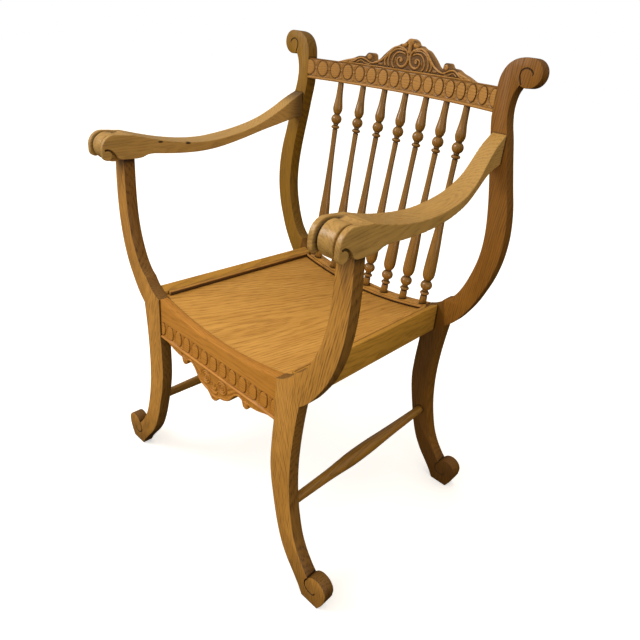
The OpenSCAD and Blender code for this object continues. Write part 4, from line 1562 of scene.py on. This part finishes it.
def bead(middle: float, radius: float, half: float) -> list[tuple[float, float]]:
    """Round bead of a turning: distance and radius of its rings, from neck to neck.

    Args:
        middle: distance along of its middle.
        radius: radius there.
        half: half the length of the full oval that it is cut from.

    Returns:
        The rings.
    """
    return [(middle + half * math.sin(a), radius * math.cos(a))
            for a in np.radians(np.linspace(-60, 60, 17))]


def vase(spots: Spots, steps: int = 5) -> list[tuple[float, float]]:
    """Smooth curve of a turning through the given rings."""
    return [(float(a), float(b)) for a, b in curve_through(spots, steps)]


@dataclass
class Turnings:
    """Seven spindles of the back and the two stretchers.

    A spindle is turned to the drawn length, and only its shaft, which ends a head's length below
    its top, is stretched to its place. The stretchers' swell is given by shares of radius and
    length.
    """

    gap: float = 55.5
    count: int = 7
    spindle_y: float = 441.68
    drawn_l: float = 444.8
    head_l: float = 110.0
    stretcher_x: float = 213.0
    stretcher_y: float = 22.5
    stretcher_z: float = 167.0
    stretcher_l: float = 412.5
    stretcher_r: float = 14.6
    stretcher_end: float = 9.0
    stretcher_swell: Spots = (
        (0, 0), (0.14, 0.12), (0.32, 0.23), (0.64, 0.31), (0.94, 0.385), (1, 0.46), (0.9, 0.55),
        (0.62, 0.65), (0.38, 0.76), (0.2, 0.88), (0, 1))
    crest: CrestRail = field(default_factory=CrestRail)
    rail: FrontRail = field(default_factory=FrontRail)

    def spindle_profile(self) -> Spots:
        """Draw a spindle with its tenons, beads, vases and shaft.

        Returns:
            Its rings, as distance along and radius.
        """
        full = self.drawn_l
        return ([(-13, 5.5), (0.4, 5.5), (0.5, 7.8), (1.2, 8.1), (9, 8.3), (18, 7.8), (19.4, 7.4)]
                + bead(25.5, 10.4, 5.5) + [(31, 6.6), (32, 6.6)]
                + bead(44, 13.1, 12) + [(55.4, 7.4)]
                + vase(((56.5, 8.2), (57.5, 8.8), (65, 12.6), (76, 13.6), (0.235 * full, 12.8),
                        (0.31 * full, 11.3), (0.4 * full, 9), (0.52 * full, 7.2), (0.645 * full, 6),
                        (full - self.head_l, 6)))
                + [(full - 106, 6.3)] + bead(full - 99.5, 9.7, 5) + [(full - 94.2, 6.2)]
                + bead(full - 81.5, 12.2, 12) + [(full - 69.8, 6.6)]
                + vase(((full - 67.6, 8), (full - 66.8, 8.8), (full - 58.5, 10.9),
                        (full - 50, 10.2), (full - 37, 8.4), (full - 24, 7.3), (full - 0.9, 6.6)))
                + [(full - 0.8, 5.5), (full + 13, 5.5)])

    def ends(self, number: int) -> tuple[Array, Array]:
        """Find where a spindle stands on the dished rear rail and meets the crest rail.

        Args:
            number: the spindle's number, from 1 at the left.

        Returns:
            Its foot and its head, in drawn millimetres.
        """
        x = (number - (self.count + 1) / 2) * self.gap
        low_x, high_x = x * 0.985, x * 1.01
        y = self.crest.bow(high_x, self.crest.bow_r) + self.crest.thick * 0.41
        return (np.array([low_x, self.spindle_y, self.rail.dip(low_x) + 1.5]),
                np.array([high_x, y, self.crest.low]))

    def stand(self, item: bpy.types.Object, foot: Array, head: Array, drawn: float,
              stretch: tuple[float, float]) -> None:
        """Set a turned piece between two points, with only its shaft stretched.

        Args:
            item: the turned piece, along +z.
            foot: where it starts.
            head: where it ends.
            drawn: length that it is turned to.
            stretch: where the shaft starts and ends.
        """
        length = float(np.linalg.norm(head - foot))
        places = points(item) / MM
        s = places[:, 2]
        share = np.clip((s - stretch[0]) / (stretch[1] - stretch[0]), 0, 1)
        s = s + (length - drawn) * share
        axis = (head - foot) / length
        first = np.cross(axis, (0.0, 1.0, 0.0) if abs(axis[1]) < 0.9 else (1.0, 0.0, 0.0))
        first /= np.linalg.norm(first)
        second = np.cross(axis, first)
        world = foot + s[:, None] * axis + places[:, :1] * first + places[:, 1:2] * second
        move_points(item, in_frame(world[:, 0], world[:, 1], world[:, 2]))

    def build(self) -> None:
        """Turn one spindle and one stretcher, copy them, set them in place and dress them."""
        pattern = turn("spindle_pattern", self.spindle_profile())
        for number in range(1, self.count + 1):
            item = new_object(f"oak_spindle_{number}", pattern.data.copy())
            foot, head = self.ends(number)
            self.stand(item, foot, head, self.drawn_l, (self.head_l, self.drawn_l - self.head_l))
            outward(item)
            smooth(item, 32)
            lay_grain(item, tuple(head - foot), 90 + number, heart=(0, 6))
            deliver(item, TURNED_OAK, Slot.TURNED, f"spindle_{number}")
        bpy.data.objects.remove(pattern)
        length, end = self.stretcher_l, self.stretcher_end
        belly = [(6 + (length - 12) * s, end + (self.stretcher_r - end) * r)
                 for r, s in curve_through(self.stretcher_swell, 4)]
        rings = ([(-13, 6.5), (0.1, 6.5), (0.2, end)] + belly
                 + [(length - 0.2, end), (length - 0.1, 6.5), (length + 13, 6.5)])
        for side in Side:
            item = turn(f"oak_stretcher_{side.word}", rings)
            foot = np.array([side.value * self.stretcher_x, self.stretcher_y, self.stretcher_z])
            self.stand(item, foot, foot + (0, length, 0), length, (0.0, length))
            outward(item)
            smooth(item, 32)
            lay_grain(item, (0, 1, 0), 101 + (side.value > 0), face=(1, 0, 0), heart=(0, 6))
            deliver(item, TURNED_OAK, Slot.TURNED, f"stretcher_{side.word}")


@dataclass
class Joinery:
    """Dowels and glue blocks, which keep their solids."""

    words: tuple[str, ...] = ("dowel", "block")

    def build(self) -> None:
        """Give the dowels and blocks their bare birch."""
        for name, solid in NODES.items():
            if any(word in name for word in self.words):
                solid.data.materials.clear()
                solid.data.materials.append(BIRCH.material())
                LOG.info("%s: solid kept, bare birch", name)


# ---------------------------------------------------------------- studio


@dataclass
class Studio:
    """Pale floor, soft lights and a camera at the photograph's viewing angle.

    The camera's angles are in degrees and its distance and target in drawn millimetres. The air's
    power grows towards its bright side and has a least share of it; the room's dark walls take
    their share of the light from reflections. The lamps look at the lit spot, in metres.
    """

    azimuth: float = 37.639421
    elevation: float = 24.226128
    roll: float = 7.122804
    distance: float = 1271.0742
    target: tuple[float, float, float] = (10.3779, 412.8255, 417.8061)
    focal_px: float = 535.7736
    centre_px: tuple[float, float] = (361.7537, 286.1682)
    frame_px: float = 640.0
    sensor: float = 36.0
    bright_side: tuple[float, float, float] = (-0.14, -0.34, 0.93)
    power: float = 0.39
    least: float = 0.05
    walls: float = 0.65
    tint: str = "#FFF6E8"
    lit: tuple[float, float, float] = (0.0, 0.0, 0.45)
    floor_z: float = -0.0006

    def camera(self) -> None:
        """Set the camera."""
        a, e, t = (math.radians(v) for v in (self.azimuth, self.elevation, self.roll))
        back = Vector((math.sin(a) * math.cos(e), -math.cos(a) * math.cos(e), math.sin(e)))
        right = (-back).cross(Vector((0, 0, 1))).normalized()
        up = right.cross(-back)
        turned_right = math.cos(t) * right + math.sin(t) * up
        turned_up = -math.sin(t) * right + math.cos(t) * up
        target = Vector((self.target[0], self.target[1] - MID_Y, self.target[2]))
        place = (target + back * self.distance) * MM
        data = bpy.data.cameras.new("camera")
        data.sensor_width = self.sensor
        data.lens = self.focal_px * self.sensor / self.frame_px
        half = self.frame_px / 2
        data.shift_x = (half - self.centre_px[0]) / self.frame_px
        data.shift_y = (self.centre_px[1] - half) / self.frame_px
        data.clip_start, data.clip_end = 0.05, 50
        camera = new_object("camera", data)
        camera.matrix_world = Matrix((
            (turned_right.x, turned_up.x, back.x, place.x),
            (turned_right.y, turned_up.y, back.y, place.y),
            (turned_right.z, turned_up.z, back.z, place.z),
            (0, 0, 0, 1)))
        bpy.context.scene.camera = camera

    def lamp(self, name: str, place: tuple[float, float, float], size: float,
             power: float) -> None:
        """Hang a soft square lamp that looks at the seat.

        Args:
            name: name of the lamp.
            place: where it hangs, in metres.
            size: its side, in metres.
            power: its power in watts.
        """
        data = bpy.data.lights.new(name, "AREA")
        data.size = size
        data.energy = power
        lamp = new_object(name, data)
        lamp.location = place
        look = Vector(self.lit) - Vector(place)
        lamp.rotation_mode = "QUATERNION"
        lamp.rotation_quaternion = look.to_track_quat("-Z", "Y")

    def floor(self) -> None:
        """Lay the paper floor."""
        take()
        bpy.ops.mesh.primitive_grid_add(x_subdivisions=8, y_subdivisions=8, size=30.0)
        paper = bpy.context.object
        paper.name = "studio_floor"
        places = points(paper)
        places[:, 2] = self.floor_z
        move_points(paper, places)
        paper.data.materials.append(StudioPaper().material())
        paper.visible_diffuse = False
        paper.visible_glossy = False

    def air(self) -> None:
        """Fill the studio with soft light that grows towards the upper left of the front."""
        world = bpy.data.worlds.new("studio_air")
        bpy.context.scene.world = world
        world.use_nodes = True
        tree = world.node_tree
        tree.nodes.clear()
        toward = add_node(tree, "VectorMath", {
            0: add_node(tree, "TexCoord").outputs["Generated"], 1: self.bright_side},
            operation="DOT_PRODUCT").outputs["Value"]
        level = add_node(tree, "Math", {
            0: add_node(tree, "Math", {0: toward, 1: 2.0 * self.power, 2: self.power},
                        operation="MULTIPLY_ADD"),
            1: self.least * self.power}, operation="MAXIMUM")
        # the room's dark walls show in the varnish, so reflections get less light than the wood
        path = add_node(tree, "LightPath").outputs
        kept = add_node(tree, "Math", {0: path["Is Glossy Ray"], 1: -self.walls, 2: 1.0},
                        operation="MULTIPLY_ADD")
        dimmed = add_node(tree, "Math", {0: level, 1: kept}, operation="MULTIPLY")
        soft = add_node(tree, "Background", {"Color": linear(self.tint), "Strength": dimmed})
        seen = add_node(tree, "Background", {"Color": linear("#FFFFFF"), "Strength": 1.0})
        pick = add_node(tree, "MixShader", {"Fac": path["Is Camera Ray"], 1: soft, 2: seen})
        add_node(tree, "OutputWorld", {"Surface": pick})

    def build(self) -> None:
        """Set the studio."""
        self.camera()
        self.floor()
        self.lamp("key", (-1.9, -2.3, 2.4), 1.5, 45)
        self.lamp("side", (2.6, -0.6, 0.9), 1.6, 10)
        self.air()
        bpy.context.scene.view_settings.view_transform = "Standard"


def main() -> None:
    """Build the chair piece by piece, then the studio."""
    logging.basicConfig(level=logging.INFO, format="%(name)s %(message)s", stream=sys.stdout)
    for group in (Frames(), Arms(), CrestRail(), FrontRail(), Seat(), Turnings(), Joinery(),
                  Studio()):
        LOG.info("building %s", type(group).__name__)
        group.build()


if __name__ == "__main__":
    main()
